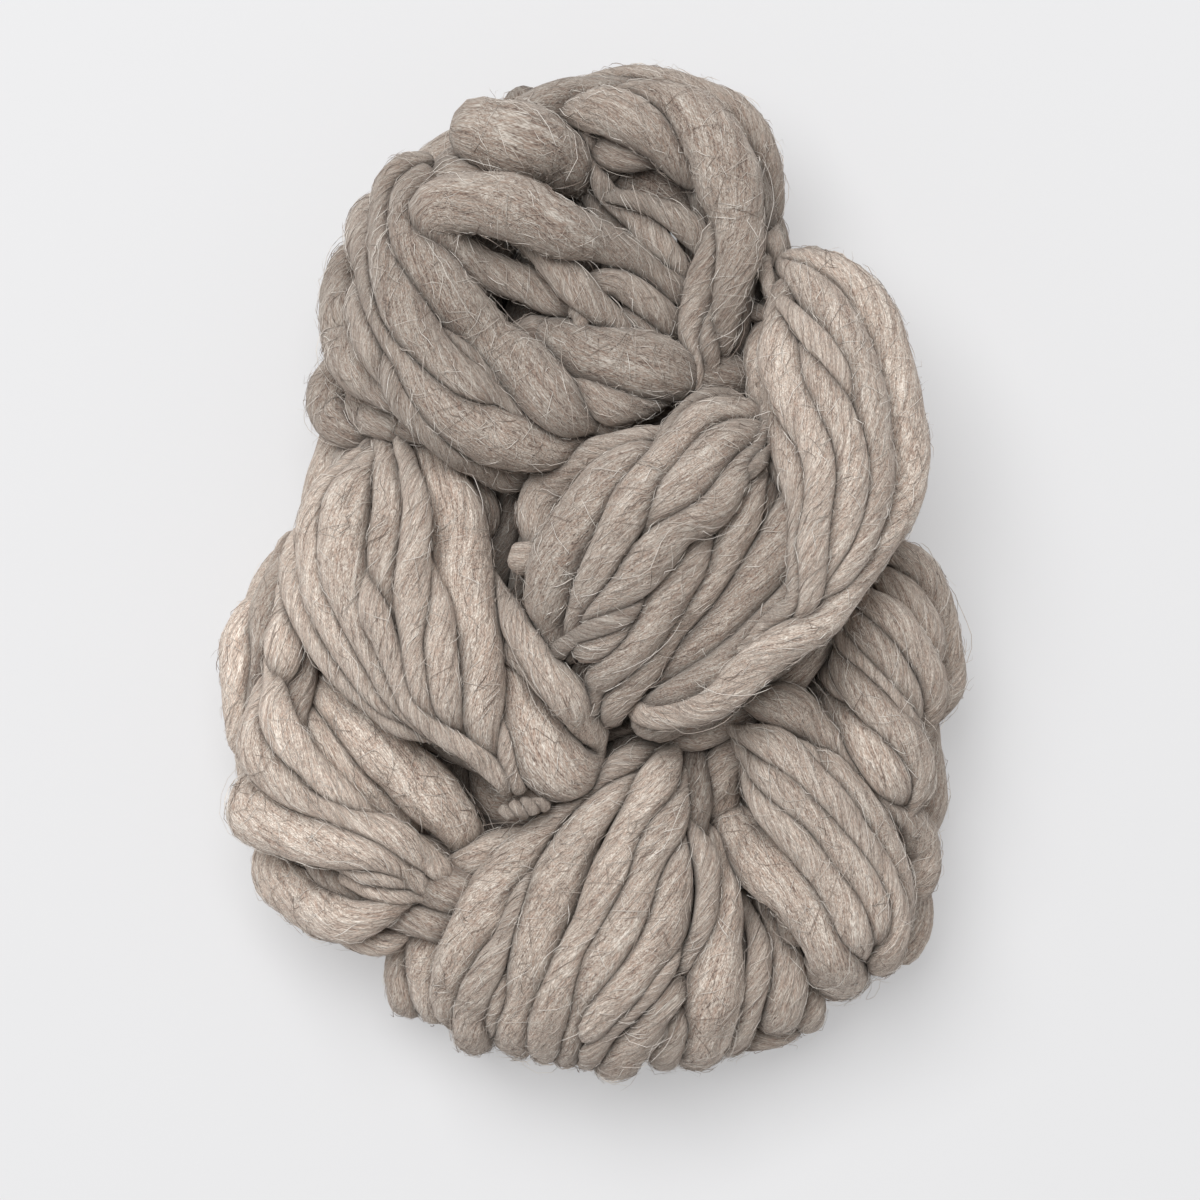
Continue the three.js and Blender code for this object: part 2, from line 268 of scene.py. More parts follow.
cornerTurns = {
    "outer": {"blunt": "start", "toneAndPaintedShading": 1.08, "height": (26, 33, 38, 39, 37, 33, 29), "line": [
        (273, 600, 5.5), (256, 616, 8.5), (243, 640, 9.5), (239, 680, 8.5), (236, 720, 7.5),
        (234, 750, 6), (240, 775, 4)]},
    "bend": {"line": [
        (250, 712, 6), (255, 740, 8.5), (268, 765, 9.5), (288, 788, 8), (308, 803, 6), (330, 811, 5.5),
        (352, 822, 5.5), (378, 832, 6.5), (402, 843, 7.5), (425, 853, 7)]},
    "short": {"line": [(284, 615, 4), (284, 638, 7.5), (284, 658, 7.5), (282, 678, 5.5)]},
    "ridge": {"height": (38, 44, 48, 48, 46, 43, 38), "line": [
        (303, 673, 4), (320, 688, 7), (348, 714, 9.5), (382, 748, 11.5), (412, 772, 11.5),
        (440, 795, 11.5), (463, 815, 9.5), (478, 832, 5)]},
    "second": {"height": (40, 46, 49, 47, 42, 35), "line": [
        (296, 690, 5), (302, 715, 8), (322, 740, 8.5), (348, 766, 8), (374, 789, 8), (400, 807, 7),
        (424, 823, 4.5)]},
    "third": {"line": [
        (272, 690, 5), (275, 715, 7), (290, 742, 7.5), (310, 765, 7), (332, 788, 7), (355, 803, 5.5),
        (378, 815, 3.5)]},
    "outerBend": {"line": [
        (240, 785, 6), (250, 810, 11), (275, 824, 12), (305, 836, 11), (340, 846, 9), (372, 853, 7),
        (402, 864, 4.5)]},
    "thinUpper": {"lift": -4, "line": [
        (345, 868, 3.5), (362, 873, 4.5), (388, 878, 4.5), (410, 884, 4)]},
    "thinLower": {"lift": -4, "line": [(356, 891, 4), (372, 896, 5), (395, 900, 5), (412, 898, 4)]},
    "base": {"line": [
        (247, 858, 5.5), (262, 880, 9.5), (290, 898, 11), (322, 915, 11), (350, 925, 9), (375, 918, 6),
        (395, 908, 4)]},
    "baseLow": {"lift": -6, "line": [(335, 938, 4), (362, 947, 5.5), (388, 948, 5.5), (402, 940, 4)]},
}

footTurns = {
    "outer": {"line": [
        (455, 848, 5), (430, 868, 7), (414, 895, 7.5), (404, 930, 7), (400, 968, 6.5), (403, 1005, 5)]},
    "second": {"line": [
        (505, 835, 6), (480, 852, 9), (455, 880, 10.5), (437, 915, 11), (425, 950, 10.5), (417, 990, 9.5),
        (421, 1024, 7)]},
    "longThin": {"line": [
        (645, 748, 4), (625, 760, 5.5), (603, 776, 5), (582, 795, 4.8), (562, 813, 5), (543, 829, 6.5),
        (525, 850, 9), (503, 878, 10.5), (482, 910, 11), (466, 945, 10.5), (453, 985, 10),
        (443, 1030, 8)]},
    "third": {"line": [
        (528, 868, 3.5), (517, 905, 4.5), (506, 938, 5), (493, 968, 7), (477, 1003, 8),
        (464, 1038, 6)]},
    "broad": {"line": [
        (640, 775, 4), (617, 790, 6.5), (596, 812, 8), (577, 840, 10), (560, 870, 12), (548, 900, 12),
        (538, 930, 11.5), (530, 960, 11), (521, 995, 10.5), (510, 1030, 9.5), (502, 1057, 7)]},
    "broadSide": {"line": [(512, 955, 4), (505, 975, 5.5), (494, 1008, 7), (484, 1042, 5.5)]},
    "fourth": {"line": [
        (670, 758, 6), (657, 780, 9), (642, 808, 8.5), (627, 838, 8), (615, 868, 9), (603, 898, 8.5),
        (592, 925, 8), (580, 950, 8), (566, 978, 9), (553, 1010, 9.5), (543, 1038, 8.5), (534, 1063, 6)]},
    "fifth": {"line": [
        (685, 795, 5), (668, 822, 8.5), (651, 850, 9), (639, 880, 9), (628, 910, 9.5), (614, 940, 10),
        (598, 968, 11), (583, 1000, 11), (570, 1032, 10), (562, 1064, 7)]},
    "sixth": {"line": [
        (685, 845, 4), (678, 870, 7.5), (671, 900, 9.5), (662, 930, 11), (645, 957, 10.5),
        (625, 982, 9.5), (602, 1003, 8.5), (583, 1028, 7.5), (573, 1058, 5)]},
    "seventh": {"line": [
        (680, 952, 3.5), (664, 968, 5), (645, 990, 5.5), (622, 1010, 5.5), (598, 1032, 5.5),
        (583, 1058, 5)]},
    "eighth": {"line": [
        (684, 975, 3), (672, 993, 5), (655, 1015, 6.5), (638, 1038, 8), (618, 1057, 7.5),
        (606, 1068, 5)]},
    "ninth": {"line": [
        (690, 990, 2.5), (683, 1012, 4.5), (677, 1036, 5.5), (669, 1057, 7), (663, 1071, 5)]},
    "upright": {"line": [(702, 838, 4), (708, 860, 6), (709, 890, 5.5), (706, 920, 5), (703, 950, 5)]},
    "uprightBroad": {"line": [
        (735, 872, 6), (728, 900, 9), (722, 935, 10.5), (719, 970, 11.5), (714, 1005, 12),
        (709, 1042, 10.5), (702, 1069, 7)]},
    "uprightRecessed": {"lift": -4, "line": [
        (768, 925, 4), (763, 955, 5), (758, 985, 6), (750, 1018, 6.5), (741, 1050, 5)]},
    "tenth": {"line": [(795, 925, 5), (790, 955, 8), (786, 985, 8.5), (781, 1015, 8.5), (775, 1044, 6)]},
    "eleventh": {"line": [(822, 955, 4), (822, 980, 6), (816, 1008, 6), (809, 1034, 4.5)]},
    "end": {"lift": -8, "line": [(745, 1043, 4), (770, 1036, 5.5), (795, 1028, 5.5), (815, 1018, 4)]},
}

heelTurns = {
    "inner": {"line": [
        (738, 752, 5), (722, 760, 8), (713, 782, 10), (716, 808, 11), (735, 838, 12), (760, 863, 12),
        (787, 887, 11.5), (812, 910, 11.5), (833, 938, 11), (846, 965, 9), (853, 985, 5)]},
    "second": {"line": [
        (745, 775, 4), (758, 795, 6), (780, 820, 7), (805, 845, 7.5), (828, 872, 7.5), (845, 900, 9),
        (852, 930, 9), (858, 958, 7), (860, 975, 4)]},
    "third": {"line": [
        (748, 762, 5), (775, 780, 8), (802, 803, 8.5), (826, 828, 8.5), (846, 856, 8.5), (862, 885, 8),
        (872, 915, 8.5), (876, 942, 7.5), (872, 965, 5)]},
    "fourth": {"line": [
        (738, 737, 3.5), (762, 741, 7), (785, 757, 8.5), (810, 780, 7.5), (833, 803, 6.5),
        (853, 832, 6), (870, 860, 6), (885, 888, 6.5), (893, 918, 6.5), (895, 945, 5), (888, 965, 3.5)]},
    "fifth": {"line": [
        (805, 748, 4), (825, 765, 7), (845, 790, 8), (865, 815, 9), (883, 842, 9.5), (897, 872, 8.5),
        (905, 900, 6.5), (908, 925, 5), (905, 945, 4)]},
    "between": {"line": [(795, 742, 4), (808, 752, 5), (822, 768, 4.5), (838, 792, 3.5)]},
    "knobbly": {"toneAndPaintedShading": 0.95, "line": [
        (745, 698, 5), (768, 700, 8.5), (792, 710, 9.5), (815, 728, 8), (827, 737, 5.6), (835, 745, 7.4),
        (843, 753, 5), (851, 763, 7.2), (860, 773, 4.8), (872, 784, 5.4), (886, 797, 5.6),
        (903, 815, 7.5), (918, 838, 8.5), (926, 865, 7.5),
        (927, 890, 6), (920, 908, 4)]},
}

sideTurns = {
    "inner": {"line": [
        (785, 678, 4), (808, 688, 6.5), (832, 705, 9.5), (855, 727, 10.5), (875, 750, 10.5),
        (892, 775, 9), (907, 798, 6.5), (918, 812, 4)]},
    "tuck": {"line": [(808, 652, 4), (825, 672, 5), (843, 692, 4.5), (860, 708, 3)]},
    "second": {"line": [
        (828, 648, 5), (850, 672, 8), (872, 697, 9), (893, 722, 9), (910, 750, 8.5), (922, 780, 7),
        (925, 805, 5)]},
    "outerUpper": {"line": [
        (858, 598, 5), (885, 617, 7.5), (907, 643, 7.5), (924, 670, 7), (935, 700, 5.5),
        (940, 728, 4.5)]},
    "outerLower": {"line": [
        (845, 612, 6), (865, 632, 8), (883, 657, 8), (900, 685, 7.5), (915, 712, 6), (926, 735, 4)]},
    "darker": {"lift": -2, "line": [
        (835, 625, 5), (855, 648, 5.5), (875, 675, 5.5), (893, 702, 4.5), (910, 728, 4), (928, 745, 4)]},
    "outer": {"line": [
        (890, 545, 5), (910, 562, 7.5), (930, 590, 8), (943, 622, 7.5), (949, 658, 6.5),
        (950, 695, 5.5), (945, 722, 4)]},
    "outerRecessed": {"lift": -2, "line": [
        (885, 570, 5), (905, 590, 7), (922, 618, 7.5), (933, 648, 6), (940, 672, 4)]},
}

charts = {
    "head": headTurns, "right": rightTurns, "middle": middleTurns, "left": leftTurns,
    "corner": cornerTurns, "foot": footTurns, "heel": heelTurns, "side": sideTurns,
}

# How the turns are made and packed together, in mm.
packing = {
    "sectionStep": 3.0,     # distance between two sections of a fold
    "sectionReach": 2.4,    # a place is beside a section when it's this near, along the fold,
    "sideReach": 2.0,       # and no farther out than this from its side
    "pointStep": 4.0,       # distance between the points that are settled
    "ringStep": 2.0,        # distance between two rings of a finished turn
    "springStep": 0.8,      # distance between the points of a curled-up strand
    "sides": 20,            # points round a visible turn
    "hiddenSides": 14,      # points round a turn that fills a fold
    "hiddenRadius": 5.6,    # usual radius of a turn that fills a fold
    "hiddenSpacing": 11.5,  # distance between two of them round the fold
    "wobble": 0.2,          # how unevenly they're spaced, against that distance
    "swell": 0.2,           # share by which their radius swells and shrinks along them
    "swellPace": (14, 24),  # how fast it does, as mm for each radian
    "leastHalf": 1.5,       # least half width of the round on which they lie
    "hiddenTwist": 0.5,     # share of their fold's twist that they take
    "heartDepth": 2.0,      # how much deeper the heart's own turns lie
    "leastKept": 0.84,      # they stop where their fold has closed to this share of its size,
    "heartKept": 0.5,       # or the heart, whose ends lie in other folds, to this one,
    "deepInside": 0.5,      # within this share of another fold's section,
    "openMargin": 16.0,     # and this far before the open end of their fold
    "leastPoints": 6,       # and are left out where they'd have fewer sections than this
    "wrapLength": 26.0,     # a visible turn that ends this near a fold's open end goes over it
    "firstHeight": 60.0,    # height for which a turn's place is first worked out
    "usualPercentile": 65,  # a turn's usual radius is this percentile of its radii
    "fullness": 1.2,        # how much thicker a turn is than what shows of it
    "endReach": 12.0,       # length over which a turn's end sinks between its neighbours
    "diveShare": 0.6,       # share of its thickness that it keeps where it dives into the hank
    "overShare": 1.25,      # share of its thickness that it keeps where it goes over an open end
    "endDrop": 1.0,         # how far it sinks there
    "underDrop": 5.0,       # how far it sinks where it slips under the turns ahead of it
    "thinSink": 0.35,       # it sinks by this share of what it lacks of its usual radius,
    "thickSink": 1.3,       # and by this share of what its ends are thickened by
    "uneven": 1.1,          # how much higher or lower than its fold's surface a turn may lie
    "ripple": 0.6,          # how much it rises and sinks along its way, against that
    "ripplePace": (5, 9),   # how fast it does, as mm for each radian
    "slip": 7.0,            # how far it goes on under the turns ahead of it,
    "slipRadii": 1.5,       # or this many of its radii if that's more
    "slipReach": (0.3, 0.75, 1.1, 1.3),  # its added points have gone on by these shares of that,
    "slipFall": (0.12, 0.35, 0.8, 1.6),  # and sunk by these shares of slip
    "bend": 7.0,            # radius of the bend by which it goes down past an edge or open end
    "bendBack": 0.8,        # it begins before its end by this share of the bend and its radius
    "bendFall": 1.2,        # how far it bends down past an edge, against the bend
    "downAngles": (22, 45, 67, 90),      # degrees that its added points have bent past an edge,
    "overAngles": (25, 50, 75, 100, 125, 150),  # and over an open end
    "plunge": (4, 8),       # how much lower it goes on past an edge
    "overLow": 4.0,         # over an open end it goes this far below the fold's middle,
    "overFall": 6.0,        # and at least this far below its own height
    "lowestEnd": 3.0,       # height over the table that an end keeps
    "lookAhead": 6.0,       # an end is at an edge when, this far ahead,
    "edgeDrop": 7.0,        # the hank lies this much lower
    "springReach": 0.55,    # how far from its line a curled-up strand winds, against its radius
    "springThick": 1.5,     # radius of that strand
    "seed": 11,
}

# The layers of turns that fill a fold: their depth under its surface in mm, the angles round it
# that they lie between in degrees, their thickness against the usual, and their tone, since what
# lies deeper is in shade.
layers = {
    "core": {"depth": 9.0, "low": -12, "high": 192, "thick": 1.0, "toneAndPaintedShading": 0.68},
    "underside": {"depth": 3.0, "low": 190, "high": 350, "thick": 1.0, "toneAndPaintedShading": 1},
    "inside": {"depth": 20.0, "low": 0, "high": 360, "thick": 1.4, "toneAndPaintedShading": 0.6},
}

# How the turns settle against each other, in mm. They do so in rounds.
settling = {
    "rounds": 60,
    "pairRounds": 8,        # after so many, the pairs of near points are found again, which are
    "pairReach": 2.0,       # those less than this from touching
    "squash": 0.26,         # share by which two turns press into each other
    "push": 0.35,           # share of what is deeper than that which a round undoes
    "visibleYield": 0.15,   # how easily a visible turn moves aside, against a hidden one
    "visibleRise": 0.8,     # and how easily it moves up or down
    "evening": 0.7,         # how far a point's move is evened with its neighbours' on the turn
    "mostPushed": 4.0,      # a hidden turn moves no farther than this
    "visibleHome": 0.3,     # how far a round draws a visible turn back to where it was laid,
    "hiddenHome": 0.05,     # and a hidden one, as a share
    "flattened": 0.93,      # height of a turn's middle over the table, against its radius
}

random = np.random.default_rng(packing["seed"])
anyPhase = (0, 6.28)        # in radians


# A smooth line through rows of numbers whose first three columns are a place, read off every step
# from a finer line. Both steps are in the rows' own unit.
def smoothRun(rows, step):
    fineStep = 0.5
    rows = np.asarray(rows, float)
    gaps = np.linalg.norm(np.diff(rows[:, :3], axis=0), axis=1)
    at = np.concatenate([[0], np.cumsum(np.maximum(gaps, 1e-6))])
    slope = np.empty_like(rows)
    slope[1:-1] = (rows[2:] - rows[:-2]) / (at[2:] - at[:-2])[:, None]
    slope[0] = (rows[1] - rows[0]) / at[1]
    slope[-1] = (rows[-1] - rows[-2]) / (at[-1] - at[-2])
    fine = np.linspace(0, at[-1], max(8, int(at[-1] / fineStep)))
    i = np.clip(np.searchsorted(at, fine, side="right") - 1, 0, len(at) - 2)
    h = (at[i + 1] - at[i])[:, None]
    u = ((fine - at[i])[:, None]) / h
    dense = (rows[i] * (2 * u**3 - 3 * u**2 + 1) + slope[i] * h * (u**3 - 2 * u**2 + u)
             + rows[i + 1] * (-2 * u**3 + 3 * u**2) + slope[i + 1] * h * (u**3 - u**2))
    run = np.concatenate([[0], np.cumsum(np.linalg.norm(np.diff(dense[:, :3], axis=0), axis=1))])
    even = np.linspace(0, run[-1], max(4, int(round(run[-1] / step)) + 1))
    return np.stack([np.interp(even, run, dense[:, c]) for c in range(rows.shape[1])], axis=1)


# Vectors of length 1.
def unit(vectors):
    return vectors / np.maximum(np.linalg.norm(vectors, axis=-1), 1e-9)[..., None]


# Unit directions along a line of points.
def directions(points):
    return unit(np.gradient(points, axis=0))


# The sections of a fold close together, with its closing ends taken into account.
def foldSections(fold):
    rows = smoothRun(fold["rows"], packing["sectionStep"])
    run = np.arange(len(rows)) / (len(rows) - 1)
    length = np.linalg.norm(np.diff(rows[:, :3], axis=0), axis=1).sum()

    def keep(d, closing):
        gone = np.clip(1 - d / closing, 0, 1)
        return np.sqrt(np.maximum(0, 1 - gone**2))

    kept = keep(run * length, fold["start"]) * keep((1 - run) * length, fold["end"])
    ahead = directions(rows[:, :3])
    ahead[:, 2] = 0
    ahead = unit(ahead)
    return {
        "place": rows[:, :3], "wide": rows[:, 3] * kept, "tall": rows[:, 4] * kept,
        "ahead": ahead, "side": np.stack([-ahead[:, 1], ahead[:, 0], 0 * kept], axis=1),
        "run": run, "length": length, "kept": kept,
    }


sections = {name: foldSections(fold) for name, fold in folds.items()}
openEnded = ("foot", "heel", "side")  # their turns show where they bend over to the table


# The offsets of plan places from each section of a fold, and which section each is nearest to.
def fromSections(s, xy):
    away = xy[:, None, :] - s["place"][None, :, :2]
    return away, np.argmin((away**2).sum(2), axis=1)


# Height of a turn of radius r that lies on the fold at each plan place, or -1 off the fold.
def topOf(name, xy, r):
    s = sections[name]
    away = fromSections(s, xy)[0]
    along = (away * s["ahead"][None, :, :2]).sum(2)
    across = np.abs((away * s["side"][None, :, :2]).sum(2))
    wide = np.maximum(s["wide"][None, :] - r[:, None], 1.0)
    tall = np.maximum(s["tall"][None, :] - r[:, None], 0.0)
    height = s["place"][None, :, 2] + tall * np.sqrt(np.clip(1 - (across / wide) ** 2, 0, 1))
    near = np.abs(along) < packing["sectionReach"]
    near &= across < s["wide"][None, :] + packing["sideReach"]
    return np.where(near, height, -1).max(1)


# The same, with the height of the fold's middle where the place is off the fold.
def heightOn(name, xy, r):
    s = sections[name]
    top = topOf(name, xy, r)
    nearest = fromSections(s, xy)[1]
    return np.where(top < 0, s["place"][nearest, 2], top)


# A running mean over reach points each way.
def evened(values, reach):
    padded = np.pad(values, reach, mode="edge")
    window = np.ones(2 * reach + 1) / (2 * reach + 1)
    return np.convolve(padded, window, mode="valid")


# The photo's pixels as plan places in mm at the height that each point has.
def planPlaces(pixels, height):
    level = photo["cameraHeight"] - photo["levelHeight"]
    shrink = ((photo["cameraHeight"] - height) / level)[:, None]
    origin = np.array(photo["origin"])
    axis = np.array(photo["centre"])
    flip = np.array([1, -1])
    offAxis = (pixels - axis) * flip * photo["mmPerPixel"]
    return (axis - origin) * flip * photo["mmPerPixel"] + offAxis * shrink


# The way into a fold from plan places on its surface, as unit vectors.
def inward(name, xy):
    s = sections[name]
    away, nearest = fromSections(s, xy)
    side = s["side"][nearest]
    across = (away[np.arange(len(xy)), nearest] * side[:, :2]).sum(1)
    lean = np.clip(across / np.maximum(s["wide"][nearest], 1), -1, 1)
    return -side * lean[:, None] - np.array([0, 0, 1]) * np.sqrt(1 - lean**2)[:, None]


# How a visible turn ends: under the turns ahead of it, down past an edge, or over an open end.
def wayOut(foldName, end, before):
    s = sections[foldName]
    away = np.dot(s["place"][-1][:2] - end[:2], s["ahead"][-1][:2])
    if foldName in openEnded and away < packing["wrapLength"]:
        return "over"
    ahead = (end[:2] + unit((end - before)[:2]) * packing["lookAhead"])[None]
    tops = [topOf(name, ahead, np.zeros(1))[0] for name in folds]
    return "under" if max(tops) > end[2] - packing["edgeDrop"] else "down"


# A thin strand that has curled up on itself: it winds round a line as many times as asked.
def springOf(points, radius, windings):
    run = smoothRun(np.c_[points, radius], packing["springStep"])
    line, reach = run[:, :3], run[:, 3] * packing["springReach"]
    ahead = directions(line)
    side = unit(np.stack([-ahead[:, 1], ahead[:, 0], 0 * reach], axis=1))
    angle = np.linspace(0, 2 * math.pi * windings, len(line))
    wound = line + reach[:, None] * (side * np.cos(angle)[:, None]
                                     + np.cross(ahead, side) * np.sin(angle)[:, None])
    return wound, np.full(len(wound), packing["springThick"]), np.ones(len(wound), bool)


# One visible turn: its points, their radii and which of them stay where they are, with its ends
# going down into the hank.
def visibleTurn(foldName, turn, draw):
    line = np.array(turn["line"], float)
    run = smoothRun(np.c_[line[:, :2], np.zeros(len(line)), line[:, 2]],
                    packing["pointStep"] / photo["mmPerPixel"])
    pixels, radius = run[:, :2], run[:, 3] / 2
    full = np.percentile(radius, packing["usualPercentile"])
    share = np.linspace(0, 1, len(run))
    height = np.full(len(run), packing["firstHeight"])
    # The place depends on the height and the height on the place, so they're worked out in turn.
    for attempt in range(3):
        xy = planPlaces(pixels, height)
        if "height" in turn:
            height = np.interp(share, np.linspace(0, 1, len(turn["height"])), turn["height"])
            continue
        height = heightOn(foldName, xy, radius)
        if "over" in turn:
            height = np.maximum(height, heightOn(turn["over"], xy, radius) + radius)
        height = evened(height, 2)
    if "spring" in turn:
        return springOf(np.c_[xy, height], radius, turn["spring"])
    # Towards its ends a turn keeps most of its thickness, and slips under its neighbours instead.
    laid = np.c_[xy, height]
    ways = {"start": wayOut(foldName, laid[0], laid[2]),
            "end": wayOut(foldName, laid[-1], laid[-3])}
    thick = radius.copy()
    sunk = np.maximum(full - radius, 0) * packing["thinSink"]
    at = share * (len(run) - 1) * packing["pointStep"]
    for end, way in ways.items():
        if turn.get("blunt") in (end, "both"):
            ways[end] = "blunt"
            continue
        away = at if end == "start" else at[-1] - at
        ending = np.clip(1 - away / packing["endReach"], 0, 1)
        keptShare = packing["overShare"] if way == "over" else packing["diveShare"]
        thick = np.maximum(thick, keptShare * full * np.clip(ending * 2, 0, 1))
        sunk += packing["underDrop" if way == "under" else "endDrop"] * ending**2
    sunk += packing["thickSink"] * (thick - radius)
    # No two turns lie quite as high, and each rises and sinks a little along its way.
    phase = draw.uniform(*anyPhase)
    rise = draw.uniform(-1, 1) * packing["uneven"]
    pace = draw.uniform(*packing["ripplePace"])
    sunk += rise + packing["ripple"] * packing["uneven"] * np.sin(at / pace + phase)
    points = np.c_[xy, height + turn.get("lift", 0)]
    radius = thick * packing["fullness"]
    into = inward(foldName, xy)
    points += into * (sunk + radius - thick)[:, None]
    points[:, 2] = np.maximum(points[:, 2], radius)
    fixed = np.zeros(len(points), bool)
    for end in ("end", "start"):
        if ways[end] != "blunt":
            low = folds[foldName]["rows"][-1][2] - packing["overLow"]
            points, radius, fixed = withEnd(points, radius, fixed, ways[end], low, into[-1])
        points, radius, fixed, into = points[::-1], radius[::-1], fixed[::-1], into[::-1]
    return points, radius, fixed


# Adds the end of a turn: on under the turns ahead, or bent down, at an open end as far as low.
def withEnd(points, radius, fixed, way, low, into):
    step = packing["pointStep"]
    flat = points[-1] - points[-3]
    flat[2] = 0
    flat = unit(flat)
    if way == "under":
        longest = max(packing["slip"], packing["slipRadii"] * radius[-1])
        reach = np.array(packing["slipReach"]) * longest
        fall = np.array(packing["slipFall"]) * packing["slip"]
        added = points[-1] + flat * reach[:, None] + into * fall[:, None]
        addedRadius = np.full(len(added), radius[-1])
        back = 0
    else:
        # A short turn bends in at most a quarter of its length.
        bend = min(packing["bend"], step * (len(points) - 1) / 4)
        back = int(round(packing["bendBack"] * (bend + radius[-1]) / step))
        back = min(back, len(points) - 3)
        path = points[-back - 1:]
        flatSteps = np.linalg.norm(np.diff(path[:, :2], axis=0), axis=1)
        at = np.concatenate([[0], np.cumsum(flatSteps)])
        fall = packing["bendFall"] * bend
        if way == "over":
            fall = max(path[0, 2] - low, packing["overFall"])
        angles = np.radians(packing["downAngles" if way == "down" else "overAngles"])
        forward = bend * np.sin(angles)
        added = np.stack([np.interp(forward, at, path[:, 0]), np.interp(forward, at, path[:, 1]),
                          path[0, 2] - fall * (1 - np.cos(angles))], axis=1)
        addedRadius = np.interp(forward, at, radius[-back - 1:])
        if way == "down":
            below = [added[-1:] - [[0, 0, drop]] for drop in packing["plunge"]]
            added = np.concatenate([added, *below])
            addedRadius = np.r_[addedRadius, [addedRadius[-1]] * len(below)]
    lowest = np.maximum(settling["flattened"] * addedRadius, packing["lowestEnd"])
    added[:, 2] = np.maximum(added[:, 2], lowest)
    kept = len(points) - back
    return (np.concatenate([points[:kept], added]), np.concatenate([radius[:kept], addedRadius]),
            np.concatenate([fixed[:kept], np.full(len(added), way != "over")]))


# Whether points lie well inside another fold, by share of its section.
def insideOthers(name, points, share):
    hidden = np.zeros(len(points), bool)
    for other, s in sections.items():
        if other == name:
            continue
        away = points[:, None, :] - s["place"][None]
        along = (away * s["ahead"][None]).sum(2)
        across = (away * s["side"][None]).sum(2) / np.maximum(s["wide"], 1)[None]
        up = away[:, :, 2] / np.maximum(s["tall"], 1)[None]
        inside = (np.abs(along) < packing["sectionReach"]) & (across**2 + up**2 < share**2)
        hidden |= inside.any(1)
    return hidden


# The turns that fill a fold: its core under the visible turns, its underside and low sides, or
# its inside, which stops one seeing through between the others.
# They are cut where they'd be deep inside another fold, and where the fold closes.
def hiddenTurns(name, layerName):
    s = sections[name]
    middle = len(s["run"]) // 2
    layer = layers[layerName]
    depth = layer["depth"] + (packing["heartDepth"] if name == "heart" else 0)
    usual = packing["hiddenRadius"] * layer["thick"]
    around = np.radians(np.linspace(layer["low"], layer["high"], 100))
    wide = max(s["wide"][middle] - (usual + depth), 2 * packing["leastHalf"]) * np.cos(around)
    tall = max(s["tall"][middle] - (usual + depth), 2 * packing["leastHalf"]) * np.sin(around)
    arc = np.concatenate([[0], np.cumsum(np.hypot(np.diff(wide), np.diff(tall)))])
    count = max(2, int(round(arc[-1] / (packing["hiddenSpacing"] * layer["thick"]))))
    turns = []
    for k in range(count):
        wobble = random.uniform(-packing["wobble"], packing["wobble"])
        phase = random.uniform(*anyPhase)
        pace = random.uniform(*packing["swellPace"])
        start = np.interp((k + 0.5 + wobble) / count * arc[-1], arc, around)
        twist = np.radians(packing["hiddenTwist"] * folds[name]["turn"])
        angle = start + twist * (s["run"] - 0.5)
        radius = usual * (1 + packing["swell"] * np.sin(s["run"] * s["length"] / pace + phase))
        wide = np.maximum(s["wide"] - depth - radius, packing["leastHalf"])
        tall = np.maximum(s["tall"] - depth - radius, packing["leastHalf"])
        points = (s["place"] + s["side"] * (wide * np.cos(angle))[:, None]
                  + np.array([0, 0, 1]) * (tall * np.sin(angle))[:, None])
        points[:, 2] = np.maximum(points[:, 2], radius)
        grown = ~insideOthers(name, points, packing["deepInside"])
        grown &= s["kept"] > packing["heartKept" if name == "heart" else "leastKept"]
        if name in openEnded:
            grown &= (1 - s["run"]) * s["length"] > packing["openMargin"]
        edges = np.flatnonzero(np.diff(np.r_[0, grown.astype(int), 0]))
        for a, b in zip(edges[::2], edges[1::2]):
            if b - a >= packing["leastPoints"]:
                run = smoothRun(np.c_[points[a:b], radius[a:b]], packing["pointStep"])
                turns.append((run[:, :3], run[:, 3], np.full(len(run), layerName == "inside")))
    return turns


print("laying the turns of the yarn")
strands = []
for name, chart in charts.items():
    for turn in chart.values():
        points, radius, fixed = visibleTurn(name, turn, random)
        strands.append({"fold": name, "points": points, "radius": radius, "fixed": fixed,
                        "visible": True, "toneAndPaintedShading": turn.get("toneAndPaintedShading", 1)})
for name in folds:
    for layerName, layer in layers.items():
        if name == "heart" and layerName == "underside":
            continue
        for points, radius, fixed in hiddenTurns(name, layerName):
            strands.append({"fold": name, "points": points, "radius": radius, "fixed": fixed,
                            "visible": False, "toneAndPaintedShading": layer["toneAndPaintedShading"]})
print("turns:", len(strands), "length in m:",
      round(sum(len(s["points"]) for s in strands) * packing["pointStep"] / 1000, 1))


# Pairs of nearby points of different strands, from the distances of all points in chunks.
def nearPairs(points, radius, owner, extra):
    chunk = 400
    found = []
    for a in range(0, len(points), chunk):
        b = min(a + chunk, len(points))
        gap = np.linalg.norm(points[a:b, None] - points[None], axis=2)
        close = gap < radius[a:b, None] + radius[None] + extra
        close &= owner[a:b, None] != owner[None]
        i, j = np.nonzero(close)
        found.append(np.c_[i + a, j])
    return np.concatenate(found)


